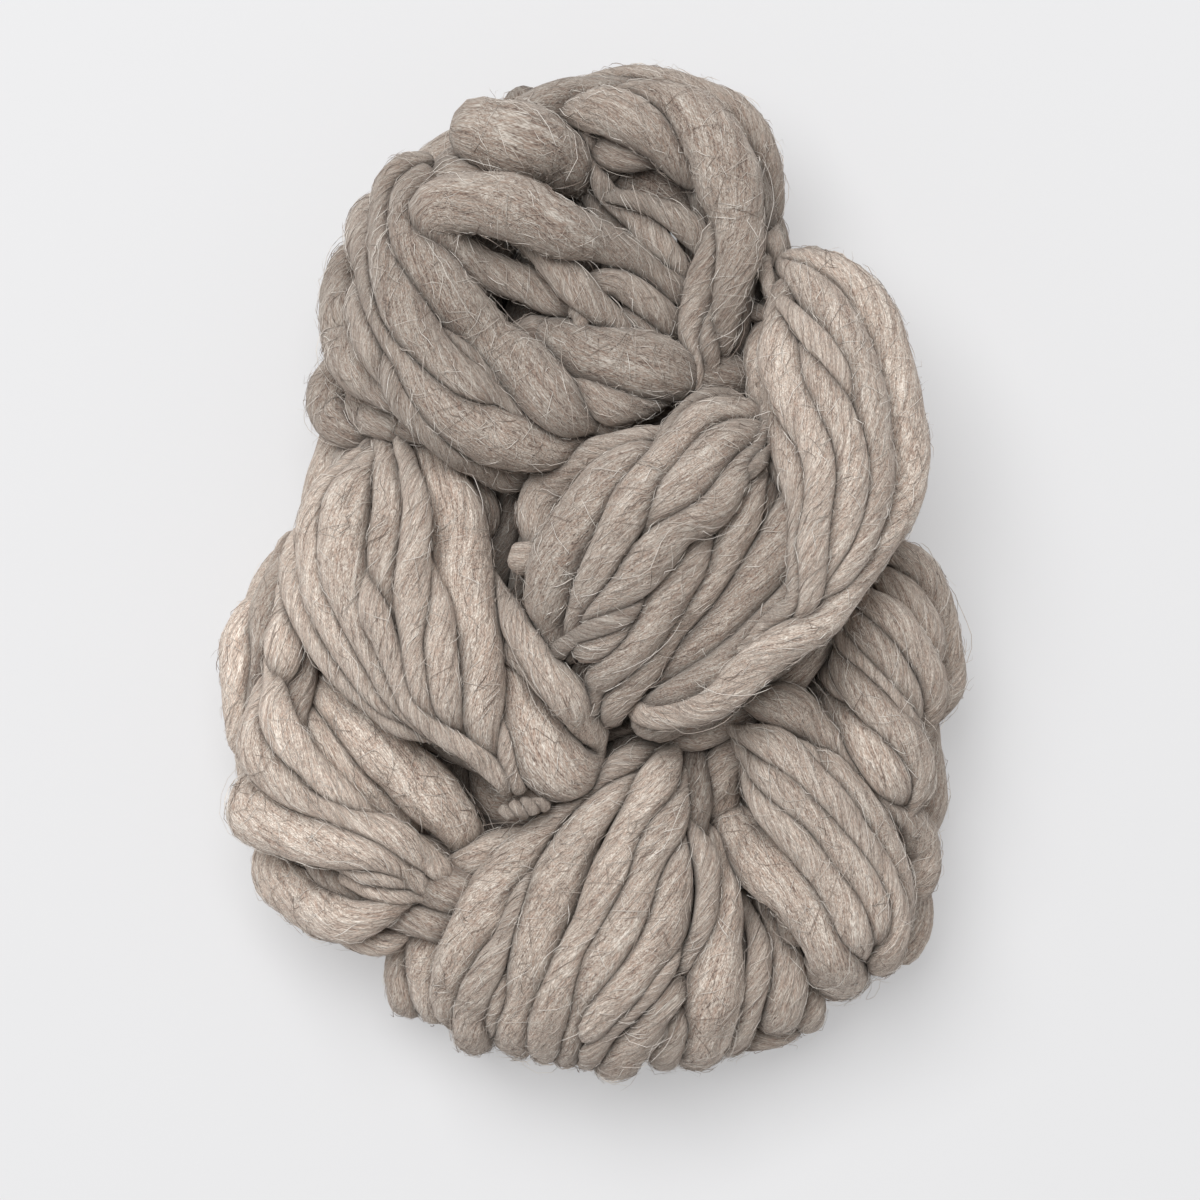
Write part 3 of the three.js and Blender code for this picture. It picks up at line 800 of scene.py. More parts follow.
# Settles all strands: they press apart where they overlap, and stay near where they were laid.
def settle():
    points = np.concatenate([s["points"] for s in strands])
    radius = np.concatenate([s["radius"] for s in strands])
    fixed = np.concatenate([s["fixed"] for s in strands])
    visible = np.concatenate([np.full(len(s["points"]), s["visible"]) for s in strands])
    owner = np.concatenate([np.full(len(s["points"]), k) for k, s in enumerate(strands)])
    home = points.copy()
    yields = np.where(visible, settling["visibleYield"], 1.0)[:, None] * np.ones(3)
    yields[visible, 2] = settling["visibleRise"]
    yields[fixed] = 0.0
    same = owner[1:] == owner[:-1]
    inner = np.flatnonzero(same[1:] & same[:-1]) + 1
    for step in range(settling["rounds"]):
        if step % settling["pairRounds"] == 0:
            pairs = nearPairs(points, radius, owner, settling["pairReach"])
            pairs = pairs[pairs[:, 0] < pairs[:, 1]]
            i, j = pairs[:, 0], pairs[:, 1]
            bothMove = ~(fixed[i] | fixed[j])
            i, j = i[bothMove], j[bothMove]
        apart = points[j] - points[i]
        gap = np.maximum(np.linalg.norm(apart, axis=1), 1e-6)
        wanted = (1 - settling["squash"]) * (radius[i] + radius[j])
        push = np.maximum(wanted - gap, 0) * settling["push"]
        way = apart / gap[:, None] * push[:, None]
        share = yields[i] + yields[j] + 1e-9
        move = np.zeros_like(points)
        weight = np.zeros(len(points))
        np.add.at(move, i, -way * yields[i] / share)
        np.add.at(move, j, way * yields[j] / share)
        np.add.at(weight, i, push > 0)
        np.add.at(weight, j, push > 0)
        # A point that many others push moves by less than the sum of their pushes.
        points += 2 * move / np.maximum(weight, 2)[:, None] ** 0.5
        offset = points - home
        mean = offset.copy()
        mean[inner] = (offset[inner - 1] + offset[inner + 1] + offset[inner]) / 3
        offset = offset + settling["evening"] * (mean - offset)
        far = np.linalg.norm(offset, axis=1)[:, None]
        limited = np.minimum(1, settling["mostPushed"] / (far + 1e-6))
        offset = offset * np.where(visible[:, None], 1, limited)
        pull = np.where(visible, settling["visibleHome"], settling["hiddenHome"])[:, None]
        points = home + offset * (1 - pull)
        points[:, 2] = np.maximum(points[:, 2], radius * settling["flattened"])
    moved = np.linalg.norm(points - home, axis=1)
    print("moved in mm, visible:", moved[visible].mean().round(2), moved[visible].max().round(1),
          "hidden:", moved[~visible].mean().round(2), moved[~visible].max().round(1))
    at = 0
    for s in strands:
        s["points"] = points[at:at + len(s["points"])]
        at += len(s["points"])


print("settling them against each other")
settle()

# How the yarn itself looks, in mm and radians.
yarn = {
    "thickTwist": 0.054,    # turn of the fibres round a thick strand for each mm along it
    "thickRadius": 6.0,     # radius of such a strand
    "twistRadii": (2.0, 8.0),  # radii between which the twist changes,
    "twistPower": 2.2,      # and how much faster it is where the strand is thin
    "leastRadius": 0.8,
    # Folds round a strand: their number, and their height as a share of its radius.
    "lobes": ((2, 0.045), (3, 0.035), (5, 0.03), (8, 0.018)),
    "lobeSwell": 0.6,       # how much a fold comes and goes along the strand
    "lobePace": (0.09, 0.03),  # how fast: the first one's pace, and how much each next one's adds
    "lobeDrift": 0.05,      # how fast it leans off the twist
    # Lumps along a strand: their pace, and their height as a share of its radius.
    "lumps": ((0.19, 0.035), (0.37, 0.03), (0.8, 0.025)),
    "lumpWaver": (0.8, 0.07),  # how unevenly they follow each other, and its pace
    "creaseRound": 0.6,     # how softly a strand bends into the crease beside its neighbour
    "felted": 0.25,         # how far two strands grow into each other in the crease
    "leastFacing": 0.02,    # only what faces a neighbour at least this squarely is pressed in,
    "leastClip": 0.3,       # to no less than this share of the strand's radius
    "onTable": 0.15,        # height over the table of what lies on it
    "capAngles": (35, 65, 90),  # where the rings of a rounded end lie, in degrees
    "capBulge": 0.8,        # how far such an end stands out, against the radius
    "paintedCreaseShade": 0.44,     # how light the wool is painted in a crease, as painted shade
    "creaseShade": 1.9,     # how far from it the painted shade of the fuzz beside it reaches
    # How light the wool of each fold is: partly the roving's own uneven grey, and partly painted light
    # and shade, as some folds lie more in the light than others.
    "tones": {
        "head": 0.79, "heart": 0.65, "right": 1.09, "middle": 0.85, "left": 1.13, "corner": 1.3,
        "foot": 1.02, "heel": 1.05, "side": 1.03},
    "ownTone": 0.06,        # how much lighter or darker one strand is than another, and the
    "ownPace": 3.7,         # step of the wave by which that goes from one strand to the next,
    "toneWaver": 0.05,      # and how much its tone changes along it,
    "tonePace": 17,         # at this many mm for each radian
    "patternRadius": 6,     # radius of the round on which the wool's pattern is drawn
    "patternApart": 517.0,  # each strand's pattern starts this far on from the last one's
    "seed": 900,
}


# Rings of a strand: their middles and radii, and a frame that turns as little as it can along it.
def ringFrames(points, radius):
    run = smoothRun(np.c_[points, radius], packing["ringStep"])
    middles, r = run[:, :3], np.maximum(run[:, 3], yarn["leastRadius"])
    ahead = directions(middles)
    normal = np.zeros_like(middles)
    n = np.array([0, 0, -1.0])
    for k, t in enumerate(ahead):
        n = n - t * np.dot(n, t)
        if np.linalg.norm(n) < 1e-3:
            n = np.cross(t, [1, 0, 0])
        n = n / np.linalg.norm(n)
        normal[k] = n
    return {"middles": middles, "radius": r, "ahead": ahead, "normal": normal,
            "across": np.cross(ahead, normal)}


print("making the rings")
ringsOf = [ringFrames(s["points"], s["radius"]) for s in strands]
ringMiddle = np.concatenate([rings["middles"] for rings in ringsOf])
ringRadius = np.concatenate([rings["radius"] for rings in ringsOf])
ringOwner = np.repeat(np.arange(len(ringsOf)), [len(rings["radius"]) for rings in ringsOf])
ringPairs = nearPairs(ringMiddle, ringRadius, ringOwner, 0.0)
ringPairs = ringPairs[np.argsort(ringPairs[:, 0], kind="stable")]
firstPair = np.searchsorted(ringPairs[:, 0], np.arange(len(ringMiddle) + 1))


# A mean of each ring's values with its two neighbours', the seam's first and last columns alike.
def smoothed(values):
    even = values.copy()
    even[1:-1] = 0.25 * values[:-2] + 0.5 * values[1:-1] + 0.25 * values[2:]
    even[:, -1] = even[:, 0]
    return even


# One strand: the grid of points of its skin, rings by sides + 1, pressed flat where other strands
# touch it, how far round each point is among the twisted fibres, and how far it is from a crease,
# which sets the painted shade there.
def strandSkin(k, firstRing):
    rings = ringsOf[k]
    middles, r = rings["middles"], rings["radius"]
    count = len(middles)
    sides = packing["sides"] if strands[k]["visible"] else packing["hiddenSides"]
    theta = np.linspace(0, 2 * math.pi, sides + 1)
    out = (rings["normal"][:, None] * np.cos(theta)[None, :, None]
           + rings["across"][:, None] * np.sin(theta)[None, :, None])
    thin = yarn["thickRadius"] / np.clip(r, *yarn["twistRadii"])
    rate = yarn["thickTwist"] * thin ** yarn["twistPower"]
    turned = np.concatenate([[0], np.cumsum(rate[1:] * packing["ringStep"])])
    phase = theta[None] - turned[:, None]
    seeds = np.random.default_rng(yarn["seed"] + k).uniform(*anyPhase, 6)
    run = np.arange(count) * packing["ringStep"]
    reach = np.ones_like(phase)
    firstPace, addedPace = yarn["lobePace"]
    for lobe, (number, height) in enumerate(yarn["lobes"]):
        wave = np.sin(run * (firstPace + addedPace * lobe) + seeds[lobe])
        slow = yarn["lobeSwell"] + yarn["lobeSwell"] * wave
        lean = yarn["lobeDrift"] * run[:, None]
        reach += height * slow[:, None] * np.sin(number * phase + seeds[lobe] * 2 + lean)
    waver, waverPace = yarn["lumpWaver"]
    for lump, (pace, height) in enumerate(yarn["lumps"]):
        uneven = waver * np.sin(run * waverPace)
        reach += height * np.sin(run * pace + seeds[3 + lump] + uneven)[:, None]
    reach *= r[:, None]
    # Two strands meet in the plane on which both their circles have the same power.
    first, last = firstPair[firstRing], firstPair[firstRing + count]
    pairs = ringPairs[first:last]
    i, j = pairs[:, 0] - firstRing, pairs[:, 1]
    apart = ringMiddle[j] - middles[i]
    gap = np.maximum(np.linalg.norm(apart, axis=1), 1e-6)
    toward = apart / gap[:, None]
    plane = (gap**2 + r[i] ** 2 - ringRadius[j] ** 2) / (2 * gap)
    facing = (out[i] * toward[:, None]).sum(2)
    limit = (plane + yarn["felted"])[:, None] / np.maximum(facing, 1e-3)
    limit = np.where(facing > yarn["leastFacing"], limit, 1e9)
    nearest = np.full_like(reach, 1e3)
    np.minimum.at(nearest, i, limit)
    soft = yarn["creaseRound"]
    # These bounds lie beyond any visible change, and only keep the exponential in range.
    nearest = np.clip(nearest, -20, reach + 20 * soft)
    kept = reach - soft * np.log(1 + np.exp((reach - nearest) / soft))
    kept = np.maximum(kept, yarn["leastClip"] * r[:, None])
    skin = middles[:, None] + out * smoothed(kept)[:, :, None]
    skin[:, :, 2] = np.maximum(skin[:, :, 2], yarn["onTable"])
    # How far each point is from a crease, against the reach of the painted shade there.
    clearOfPaintedShade = np.clip((nearest - reach) / yarn["creaseShade"], 0, 1)
    return {"skin": skin, "phase": phase, "run": run, "clearOfPaintedShade": smoothed(clearOfPaintedShade)}


# Closes both ends of a strand with two shrinking rings and a point.
def closedEnds(skin, rings):
    middles, r, ahead = rings["middles"], rings["radius"], rings["ahead"]
    parts = [skin]
    for end, sign in ((0, -1), (-1, 1)):
        cap = []
        for degrees in yarn["capAngles"]:
            a = math.radians(degrees)
            centre = middles[end] + ahead[end] * sign * r[end] * yarn["capBulge"] * math.sin(a)
            cap.append(centre + (skin[end] - middles[end]) * math.cos(a))
        cap = np.array(cap)
        cap[:, :, 2] = np.maximum(cap[:, :, 2], yarn["onTable"])
        if sign < 0:
            parts.insert(0, cap[::-1])
        else:
            parts.append(cap)
    return np.concatenate(parts)


# One mesh of many closed tubes. Every tube is a run of rows of one grid, rolled up by its points.
def tubeMesh(name, tubes, attributes):
    columns = tubes[0].shape[1]
    across = columns - 1
    counts = [len(t) for t in tubes]
    bm = bmesh.new()
    bmesh.ops.create_grid(bm, x_segments=across, y_segments=sum(counts) - 1, size=1)
    mesh = bpy.data.meshes.new(name)
    bm.to_mesh(mesh)
    bm.free()
    places = np.concatenate([t.reshape(-1, 3) for t in tubes]) / 1000
    mesh.vertices.foreach_set("co", places.astype(np.float32).ravel())
    for key, values in attributes.items():
        values = np.asarray(values, np.float32)
        kind = "FLOAT" if values.ndim == 1 else "FLOAT_VECTOR"
        layer = mesh.attributes.new(key, kind, "POINT")
        layer.data.foreach_set("value" if kind == "FLOAT" else "vector", values.ravel())
    bm = bmesh.new()
    bm.from_mesh(mesh)
    bm.faces.ensure_lookup_table()
    # The faces that join one tube to the next go, and each tube's seam and ends are closed.
    lastRows = np.cumsum(counts)[:-1] - 1
    joins = [bm.faces[int(row) * across + c] for row in lastRows for c in range(across)]
    bmesh.ops.delete(bm, geom=joins, context="FACES")
    bmesh.ops.remove_doubles(bm, verts=bm.verts, dist=2e-6)
    for face in bm.faces:
        face.smooth = True
    bm.to_mesh(mesh)
    bm.free()
    return mesh


# A piece of the hank, with its triangle count printed.
def addPiece(mesh, material):
    piece = bpy.data.objects.new(mesh.name, mesh)
    bpy.context.scene.collection.objects.link(piece)
    mesh.materials.append(material)
    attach(piece, "root")
    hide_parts("hank")
    print(piece.name, "triangles:", sum(len(p.vertices) - 2 for p in mesh.polygons))


# sRGB hex to Blender's linear colour.
def toLinear(hexColour):
    channels = [int(hexColour[i:i + 2], 16) / 255 for i in (1, 3, 5)]
    return [c / 12.92 if c <= 0.04045 else ((c + 0.055) / 1.055) ** 2.4 for c in channels] + [1]


# Adds a node with its settings, and sets or links its inputs.
def addNode(material, kind, settings=None, inputs=None):
    tree = material.node_tree
    node = tree.nodes.new(kind)
    for key, value in (settings or {}).items():
        setattr(node, key, value)
    for key, value in (inputs or {}).items():
        if isinstance(value, bpy.types.NodeSocket):
            tree.links.new(value, node.inputs[key])
        else:
            node.inputs[key].default_value = value
    return node


# A colour ramp's node, with a list of stops: a place from 0 to 1 and a hex colour.
def addRamp(material, value, stops):
    ramp = addNode(material, "ShaderNodeValToRGB", None, {"Fac": value})
    while len(ramp.color_ramp.elements) < len(stops):
        ramp.color_ramp.elements.new(0.5)
    for element, (at, colour) in zip(ramp.color_ramp.elements, stops):
        element.position = at
        element.color = toLinear(colour)
    return ramp.outputs["Color"]


# The look of the wool. Sizes are in mm, and a streak's are its width and its length. The finest
# streaks are a few fibres each, since a fibre of 0.03 mm is too fine to show.
wool = {
    "fibre": (0.2, 3.6),
    "speck": (0.3, 0.9),    # where a fibre turns aside
    "lock": (1.6, 12.0),    # fibres of one shade that lie together
    "redFibre": (0.35, 2.0),
    "wave": (4.0, 0.9),     # how often the fibres wave, and how far
    "crossed": 0.45,        # how far the crossing fibres lean off the strand's own, in radians
    "redCrossed": 0.2,      # and the reddish ones
    "crossingShare": 0.45,  # how much of the pattern they make up,
    "speckShare": 0.28,     # and the specks,
    "lockShare": 0.2,       # and the locks
    "shades": [(0.38, "#74635a"), (0.465, "#ac9c90"), (0.535, "#c9bdb1"), (0.61, "#eee5da")],
    "warm": "#b99c8a",      # the reddish brown fibres among the grey,
    "warmFrom": 0.5,        # which show where their pattern is over this
    "warmTo": 0.62,         # and most over this,
    "warmth": 0.4,          # when they take up this share of the colour
    "lockRelief": (0.6, 1.2),   # strength of the locks' bump, and its depth in mm,
    "fibreRelief": (1.0, 0.6),  # and of the fibres'
    "roughness": 0.95,
    "specular": 0.2,
    "sheen": 0.35,
    "sheenRoughness": 0.5,
    "sheenTint": "#efe8e0",
}


# Undyed roving wool, spun once with a loose twist: matt and felted, with short wavy streaks of
# cream, grey and brown fibre along the strand at the angle of its twist, and a pale fuzzy rim.
def rovingWool():
    material = bpy.data.materials.new("undyed roving wool")
    material.use_nodes = True
    tree = material.node_tree
    shader = tree.nodes["Principled BSDF"]
    place = addNode(material, "ShaderNodeAttribute", {"attribute_name": "yarnPlace"})
    waveLength, waveReach = wool["wave"]
    waves = addNode(material, "ShaderNodeTexNoise", {"noise_dimensions": "3D"},
                    {"Vector": place.outputs["Vector"], "Scale": 1 / waveLength, "Detail": 2.0})
    shift = addNode(material, "ShaderNodeVectorMath", {"operation": "SCALE"},
                    {0: waves.outputs["Color"], "Scale": waveReach})
    waved = addNode(material, "ShaderNodeVectorMath", {"operation": "ADD"},
                    {0: place.outputs["Vector"], 1: shift.outputs[0]})

    # Noise drawn out along the strand, in a frame that leans off it by lean radians.
    def streaks(size, lean):
        width, length = size
        leant = addNode(material, "ShaderNodeVectorRotate", {"rotation_type": "EULER_XYZ"},
                        {"Vector": waved.outputs[0], "Rotation": (lean, -lean, 0)})
        scaled = addNode(material, "ShaderNodeVectorMath", {"operation": "MULTIPLY"},
                         {0: leant.outputs[0], 1: (1 / width, 1 / width, 1 / length)})
        return addNode(material, "ShaderNodeTexNoise", {"noise_dimensions": "3D"},
                       {"Vector": scaled.outputs[0], "Scale": 1.0, "Detail": 1.0,
                        "Roughness": 0.5}).outputs["Fac"]

    def mixed(a, b, share):
        return addNode(material, "ShaderNodeMix", {"data_type": "FLOAT"},
                       {"Factor": share, "A": a, "B": b}).outputs["Result"]

    # A bump whose depth is in mm, over another one where there is one.
    def relief(height, strengthAndDepth, under=None):
        strength, depth = strengthAndDepth
        inputs = {"Height": height, "Strength": strength, "Distance": depth / 1000}
        if under:
            inputs["Normal"] = under
        return addNode(material, "ShaderNodeBump", None, inputs).outputs["Normal"]

    along = streaks(wool["fibre"], 0.0)
    crossing = streaks(wool["fibre"], wool["crossed"])
    specks = streaks(wool["speck"], -wool["crossed"])
    locks = streaks(wool["lock"], 0.0)
    fine = mixed(mixed(along, crossing, wool["crossingShare"]), specks, wool["speckShare"])
    shades = addRamp(material, mixed(fine, locks, wool["lockShare"]), wool["shades"])
    reddish = addNode(material, "ShaderNodeMapRange", None,
                      {"Value": streaks(wool["redFibre"], wool["redCrossed"]),
                       "From Min": wool["warmFrom"], "From Max": wool["warmTo"],
                       "To Min": 0.0, "To Max": wool["warmth"]})
    # Of a colour mix's inputs, 0 is the share, and 6 and 7 are the two colours.
    tinted = addNode(material, "ShaderNodeMix", {"data_type": "RGBA", "blend_type": "MIX"},
                     {0: reddish.outputs["Result"], 6: shades, 7: toLinear(wool["warm"])})
    # Its tone scales the wool's colour: its own grey, and painted light and shade, also in creases.
    toneAndPaintedShading = addNode(material, "ShaderNodeAttribute", {"attribute_name": "toneAndPaintedShading"})
    toned = addNode(material, "ShaderNodeVectorMath", {"operation": "SCALE"},
                    {0: tinted.outputs[2], "Scale": toneAndPaintedShading.outputs["Fac"]})
    tree.links.new(toned.outputs[0], shader.inputs["Base Color"])
    swells = relief(locks, wool["lockRelief"])
    tree.links.new(relief(fine, wool["fibreRelief"], swells), shader.inputs["Normal"])
    shader.inputs["Roughness"].default_value = wool["roughness"]
    shader.inputs["Specular IOR Level"].default_value = wool["specular"]
    shader.inputs["Sheen Weight"].default_value = wool["sheen"]
    shader.inputs["Sheen Roughness"].default_value = wool["sheenRoughness"]
    shader.inputs["Sheen Tint"].default_value = toLinear(wool["sheenTint"])
    return material


print("shaping the strands")
skins = []
atRing = 0
for k in range(len(strands)):
    skins.append(strandSkin(k, atRing))
    atRing += len(ringsOf[k]["radius"])


# The piece of a fold's visible turns, or of those that fill it. yarnPlace is each point's place in
# the wool's pattern, which runs along the strand and turns with its twist, and its tone how light it
# is: the wool's own grey with painted light and shade, and painted shade in its creases.
def addTurns(name, visible):
    members = [k for k, s in enumerate(strands)
               if s["fold"] == name and s["visible"] == visible]
    if not members:
        return
    caps = len(yarn["capAngles"])
    tubes, places, tones = [], [], []
    for k in members:
        made = skins[k]
        tubes.append(closedEnds(made["skin"], ringsOf[k]))
        phase = np.pad(made["phase"], ((caps, caps), (0, 0)), mode="edge")
        clearOfPaintedShade = np.pad(made["clearOfPaintedShade"], ((caps, caps), (0, 0)), mode="edge")
        along = np.pad(made["run"], caps, mode="reflect", reflect_type="odd")
        along = along + yarn["patternApart"] * k
        radius = yarn["patternRadius"]
        place = [radius * np.cos(phase), radius * np.sin(phase),
                 np.broadcast_to(along[:, None], phase.shape)]
        places.append(np.stack(place, axis=2).reshape(-1, 3))
        vary = (1 + yarn["ownTone"] * math.sin(yarn["ownPace"] * k)
                + yarn["toneWaver"] * np.sin(along / yarn["tonePace"]))
        # The fold's and the turn's tone: partly the wool's own grey, partly painted light and shade.
        toneAndShading = yarn["tones"][name] * strands[k]["toneAndPaintedShading"] * vary
        # Painted shade: the wool darkens towards each crease where another turn meets it.
        shaded = yarn["paintedCreaseShade"] + (1 - yarn["paintedCreaseShade"]) * clearOfPaintedShade
        tones.append((toneAndShading[:, None] * shaded).ravel())
    attributes = {"yarnPlace": np.concatenate(places), "toneAndPaintedShading": np.concatenate(tones)}
    ending = "_turns" if visible else "_filling"
    addPiece(tubeMesh(name + ending, tubes, attributes), woolMaterial)


print("closing and joining the strands")
woolMaterial = rovingWool()
for name in folds:
    addTurns(name, True)
    addTurns(name, False)

# The loose fibres on the turns, in mm. Their real thickness is about 0.03 mm, too fine to show, so
# they're drawn thicker and fewer. arch is how far a fibre's middle stands off the turn, free how
# far its end does, stray how far it turns aside, and pale the shape of its spread of shades.
fibres = {
    "flat": {"count": 15000, "nodes": 4, "length": (3, 8), "thick": 0.18, "lift": 0.1,
             "arch": (0.0, 0.3), "free": (0.0, 0.3), "stray": 0.35, "pale": (1.5, 0.9)},
    "loose": {"count": 12500, "nodes": 5, "length": (4, 9), "thick": 0.16, "lift": 0.08,
              "arch": (0.1, 0.7), "free": (0.0, 1.2), "stray": 0.8, "pale": (1.6, 0.7)},
    "flyaway": {"count": 5000, "nodes": 5, "length": (1.5, 6), "thick": 0.09, "lift": 0.0,
                "arch": (0.0, 0.6), "free": (0.6, 3.0), "stray": 1.5, "pale": (3.0, 0.8)},
    "long": {"count": 350, "nodes": 12, "length": (14, 34), "thick": 0.15, "lift": 0.3,
             "arch": (0.6, 2.8), "free": (0.0, 3.0), "stray": 0.9, "pale": (3.0, 0.8)},
}

# How all of them are laid, in mm.
laying = {
    "tried": 3.2,           # so many times as many are tried as are kept
    "curl": 0.3,            # how far a fibre winds to and fro, against stray
    "freePower": 2.2,       # how late along it its free end leaves the turn
    "sway": 0.5,            # how far that end leans aside, against how far it stands off
    "kink": 0.12,           # how far it kinks at each point, against stray
    "lowest": 0.3,          # height over the table that it keeps
    "startOff": 0.4,        # a fibre is left out if, from this far off the turn,
    "openAir": 2.5,         # another turn is nearer than this
    "visibleShare": 0.72,   # share of them that lie on the visible turns
    "hiddenShare": 0.28,
    "sides": 3,             # round one fibre
    "thickness": (0.7, 1.2),  # how much it differs from the usual
    "seed": 5,
}

fibreLook = {
    "shades": [(0.0, "#7d6d63"), (0.45, "#aa9b90"), (0.8, "#d2c8be"), (1.0, "#f4eee6")],
    "roughness": 0.7,
    "specular": 0.3,
}


# The skins of many strands end to end, with outward directions and how far the fibres have turned.
def strandField(members):
    skin = np.concatenate([skins[k]["skin"] for k in members])
    phase = np.concatenate([skins[k]["phase"] for k in members])
    counts = np.array([len(skins[k]["skin"]) for k in members])
    first = np.concatenate([[0], np.cumsum(counts)[:-1]])
    middles = np.concatenate([ringsOf[k]["middles"] for k in members])
    alongSkin = np.concatenate([np.gradient(skins[k]["skin"], axis=0) for k in members])
    roundSkin = np.empty_like(skin)
    roundSkin[:, 1:-1] = skin[:, 2:] - skin[:, :-2]
    roundSkin[:, 0] = roundSkin[:, -1] = skin[:, 1] - skin[:, -2]
    normal = unit(np.cross(roundSkin, alongSkin))
    outward = skin - middles[:, None]
    normal *= np.sign((normal * outward).sum(2))[:, :, None]
    return {"skin": skin, "normal": normal, "turned": -phase[:, 0], "first": first,
            "counts": counts, "radius": np.concatenate([ringsOf[k]["radius"] for k in members]),
            "strand": np.repeat(np.arange(len(members)), counts)}


# Values of a field's grid at ring a and angle b, between its points.
def between(grid, a, b):
    sides = grid.shape[1] - 1
    b = np.mod(b, 2 * math.pi) / (2 * math.pi) * sides
    i, j = np.floor(a).astype(int), np.minimum(np.floor(b).astype(int), sides - 1)
    u, v = (a - i)[..., None], (b - j)[..., None]
    i2 = np.minimum(i + 1, len(grid) - 1)
    return ((grid[i, j] * (1 - u) + grid[i2, j] * u) * (1 - v)
            + (grid[i, j + 1] * (1 - u) + grid[i2, j + 1] * u) * v)


# Fibres of one kind on one field: points for each node, as an array of fibres by nodes by 3.
def layFibres(field, kind, count, draw):
    low, high = kind["length"]
    wanted = int(count * laying["tried"])
    weight = field["radius"] / field["radius"].sum()
    ring = draw.choice(len(weight), wanted, p=weight) + draw.uniform(0, 0.99, wanted)
    angle = draw.uniform(0, 2 * math.pi, wanted)
    length = draw.uniform(low, high, wanted) * draw.choice([-1, 1], wanted)
    strand = field["strand"][ring.astype(int)]
    start = field["first"][strand]
    last = start + field["counts"][strand] - 2
    share = np.linspace(0, 1, kind["nodes"])
    # A fibre leans as the twist does, so it gets less far along the turn than it is long.
    rate = 1 / np.sqrt(1 + (field["radius"][ring.astype(int)] * yarn["thickTwist"]) ** 2 * 3)
    a = ring[:, None] + length[:, None] * rate[:, None] * share[None] / packing["ringStep"]
    inside = (a.min(1) >= start) & (a.max(1) <= last)
    angle, a = angle[inside], a[inside]
    fits = len(a)
    turned = field["turned"]
    i = a.astype(int)
    turn = turned[i] + (turned[np.minimum(i + 1, len(turned) - 1)] - turned[i]) * (a - i)
    wander = draw.normal(0, kind["stray"], (fits, 1)) * share + (
        draw.normal(0, kind["stray"] * laying["curl"], (fits, 1))
        * np.sin(share * 2 * math.pi)[None])
    b = angle[:, None] + turn - turn[:, :1] + wander
    place = between(field["skin"], a, b)
    normal = unit(between(field["normal"], a, b))
    arch = draw.uniform(*kind["arch"], (fits, 1)) * np.sin(share * math.pi)[None]
    free = draw.uniform(*kind["free"], (fits, 1)) * share[None] ** laying["freePower"]
    side = unit(np.cross(np.gradient(place, axis=1), normal))
    sway = draw.normal(0, laying["sway"], (fits, 1)) * free
    sway = sway + draw.normal(0, laying["kink"], (fits, len(share))) * kind["stray"]
    path = place + normal * (kind["lift"] + arch + free)[:, :, None] + side * sway[:, :, None]
    path[:, :, 2] = np.maximum(path[:, :, 2], laying["lowest"])
    middle = len(share) // 2
    inOpen = np.array([
        blockers.ray_cast(Vector(p + n * laying["startOff"]), Vector(n), laying["openAir"])[0] is None
        for p, n in zip(place[:, middle], normal[:, middle])])
    return path[np.flatnonzero(inOpen)[:count]]


# Turns fibre paths into thin closed tubes of three sides, which taper to a point at both ends.
def fibreTubes(path, thick, draw):
    count, nodes = path.shape[:2]
    ahead = unit(np.gradient(path, axis=1))
    side = unit(np.cross(ahead, draw.normal(0, 1, (count, 1, 3))))
    other = np.cross(ahead, side)
    taper = np.full(nodes, 1.0)
    taper[[0, -1]] = 0
    width = thick / 2 * draw.uniform(*laying["thickness"], (count, 1)) * taper[None]
    theta = np.linspace(0, 2 * math.pi, laying["sides"] + 1)
    return (path[:, :, None] + side[:, :, None] * (width[:, :, None] * np.cos(theta))[..., None]
            + other[:, :, None] * (width[:, :, None] * np.sin(theta))[..., None])


# Single wool fibres: slightly glossy, each of one shade from brown to cream.
def singleFibre():
    material = bpy.data.materials.new("single wool fibre")
    material.use_nodes = True
    shader = material.node_tree.nodes["Principled BSDF"]
    shade = addNode(material, "ShaderNodeAttribute", {"attribute_name": "shade"})
    colour = addRamp(material, shade.outputs["Fac"], fibreLook["shades"])
    material.node_tree.links.new(colour, shader.inputs["Base Color"])
    shader.inputs["Roughness"].default_value = fibreLook["roughness"]
    shader.inputs["Specular IOR Level"].default_value = fibreLook["specular"]
    return material


def addFibres():
    material = singleFibre()
    draw = np.random.default_rng(laying["seed"])
    seen = strandField([k for k, s in enumerate(strands) if s["visible"]])
    filling = strandField([k for k, s in enumerate(strands) if not s["visible"]])
    parts = ((seen, "", laying["visibleShare"]), (filling, "Low", laying["hiddenShare"]))
    for name, kind in fibres.items():
        for field, part, share in parts:
            path = layFibres(field, kind, int(kind["count"] * share), draw)
            tubes = fibreTubes(path, kind["thick"], draw)
            pointsEach = kind["nodes"] * (laying["sides"] + 1)
            shade = np.repeat(draw.beta(*kind["pale"], len(tubes)), pointsEach)
            addPiece(tubeMesh(name + "_fibres" + part, list(tubes), {"shade": shade}), material)


# The skins of all strands as one tree, which tells whether a fibre lies in the open.
def skinTree():
    faces = []
    base = 0
    for made in skins:
        rows, columns = made["skin"].shape[:2]
        index = base + np.arange(rows * columns).reshape(rows, columns)
        corners = [index[:-1, :-1], index[:-1, 1:], index[1:, 1:], index[1:, :-1]]
        faces.append(np.stack(corners, axis=2).reshape(-1, 4))
        base += rows * columns
    points = np.concatenate([made["skin"].reshape(-1, 3) for made in skins])
    return BVHTree.FromPolygons(points.tolist(), np.concatenate(faces).tolist())


print("laying the loose fibres")
blockers = skinTree()
addFibres()

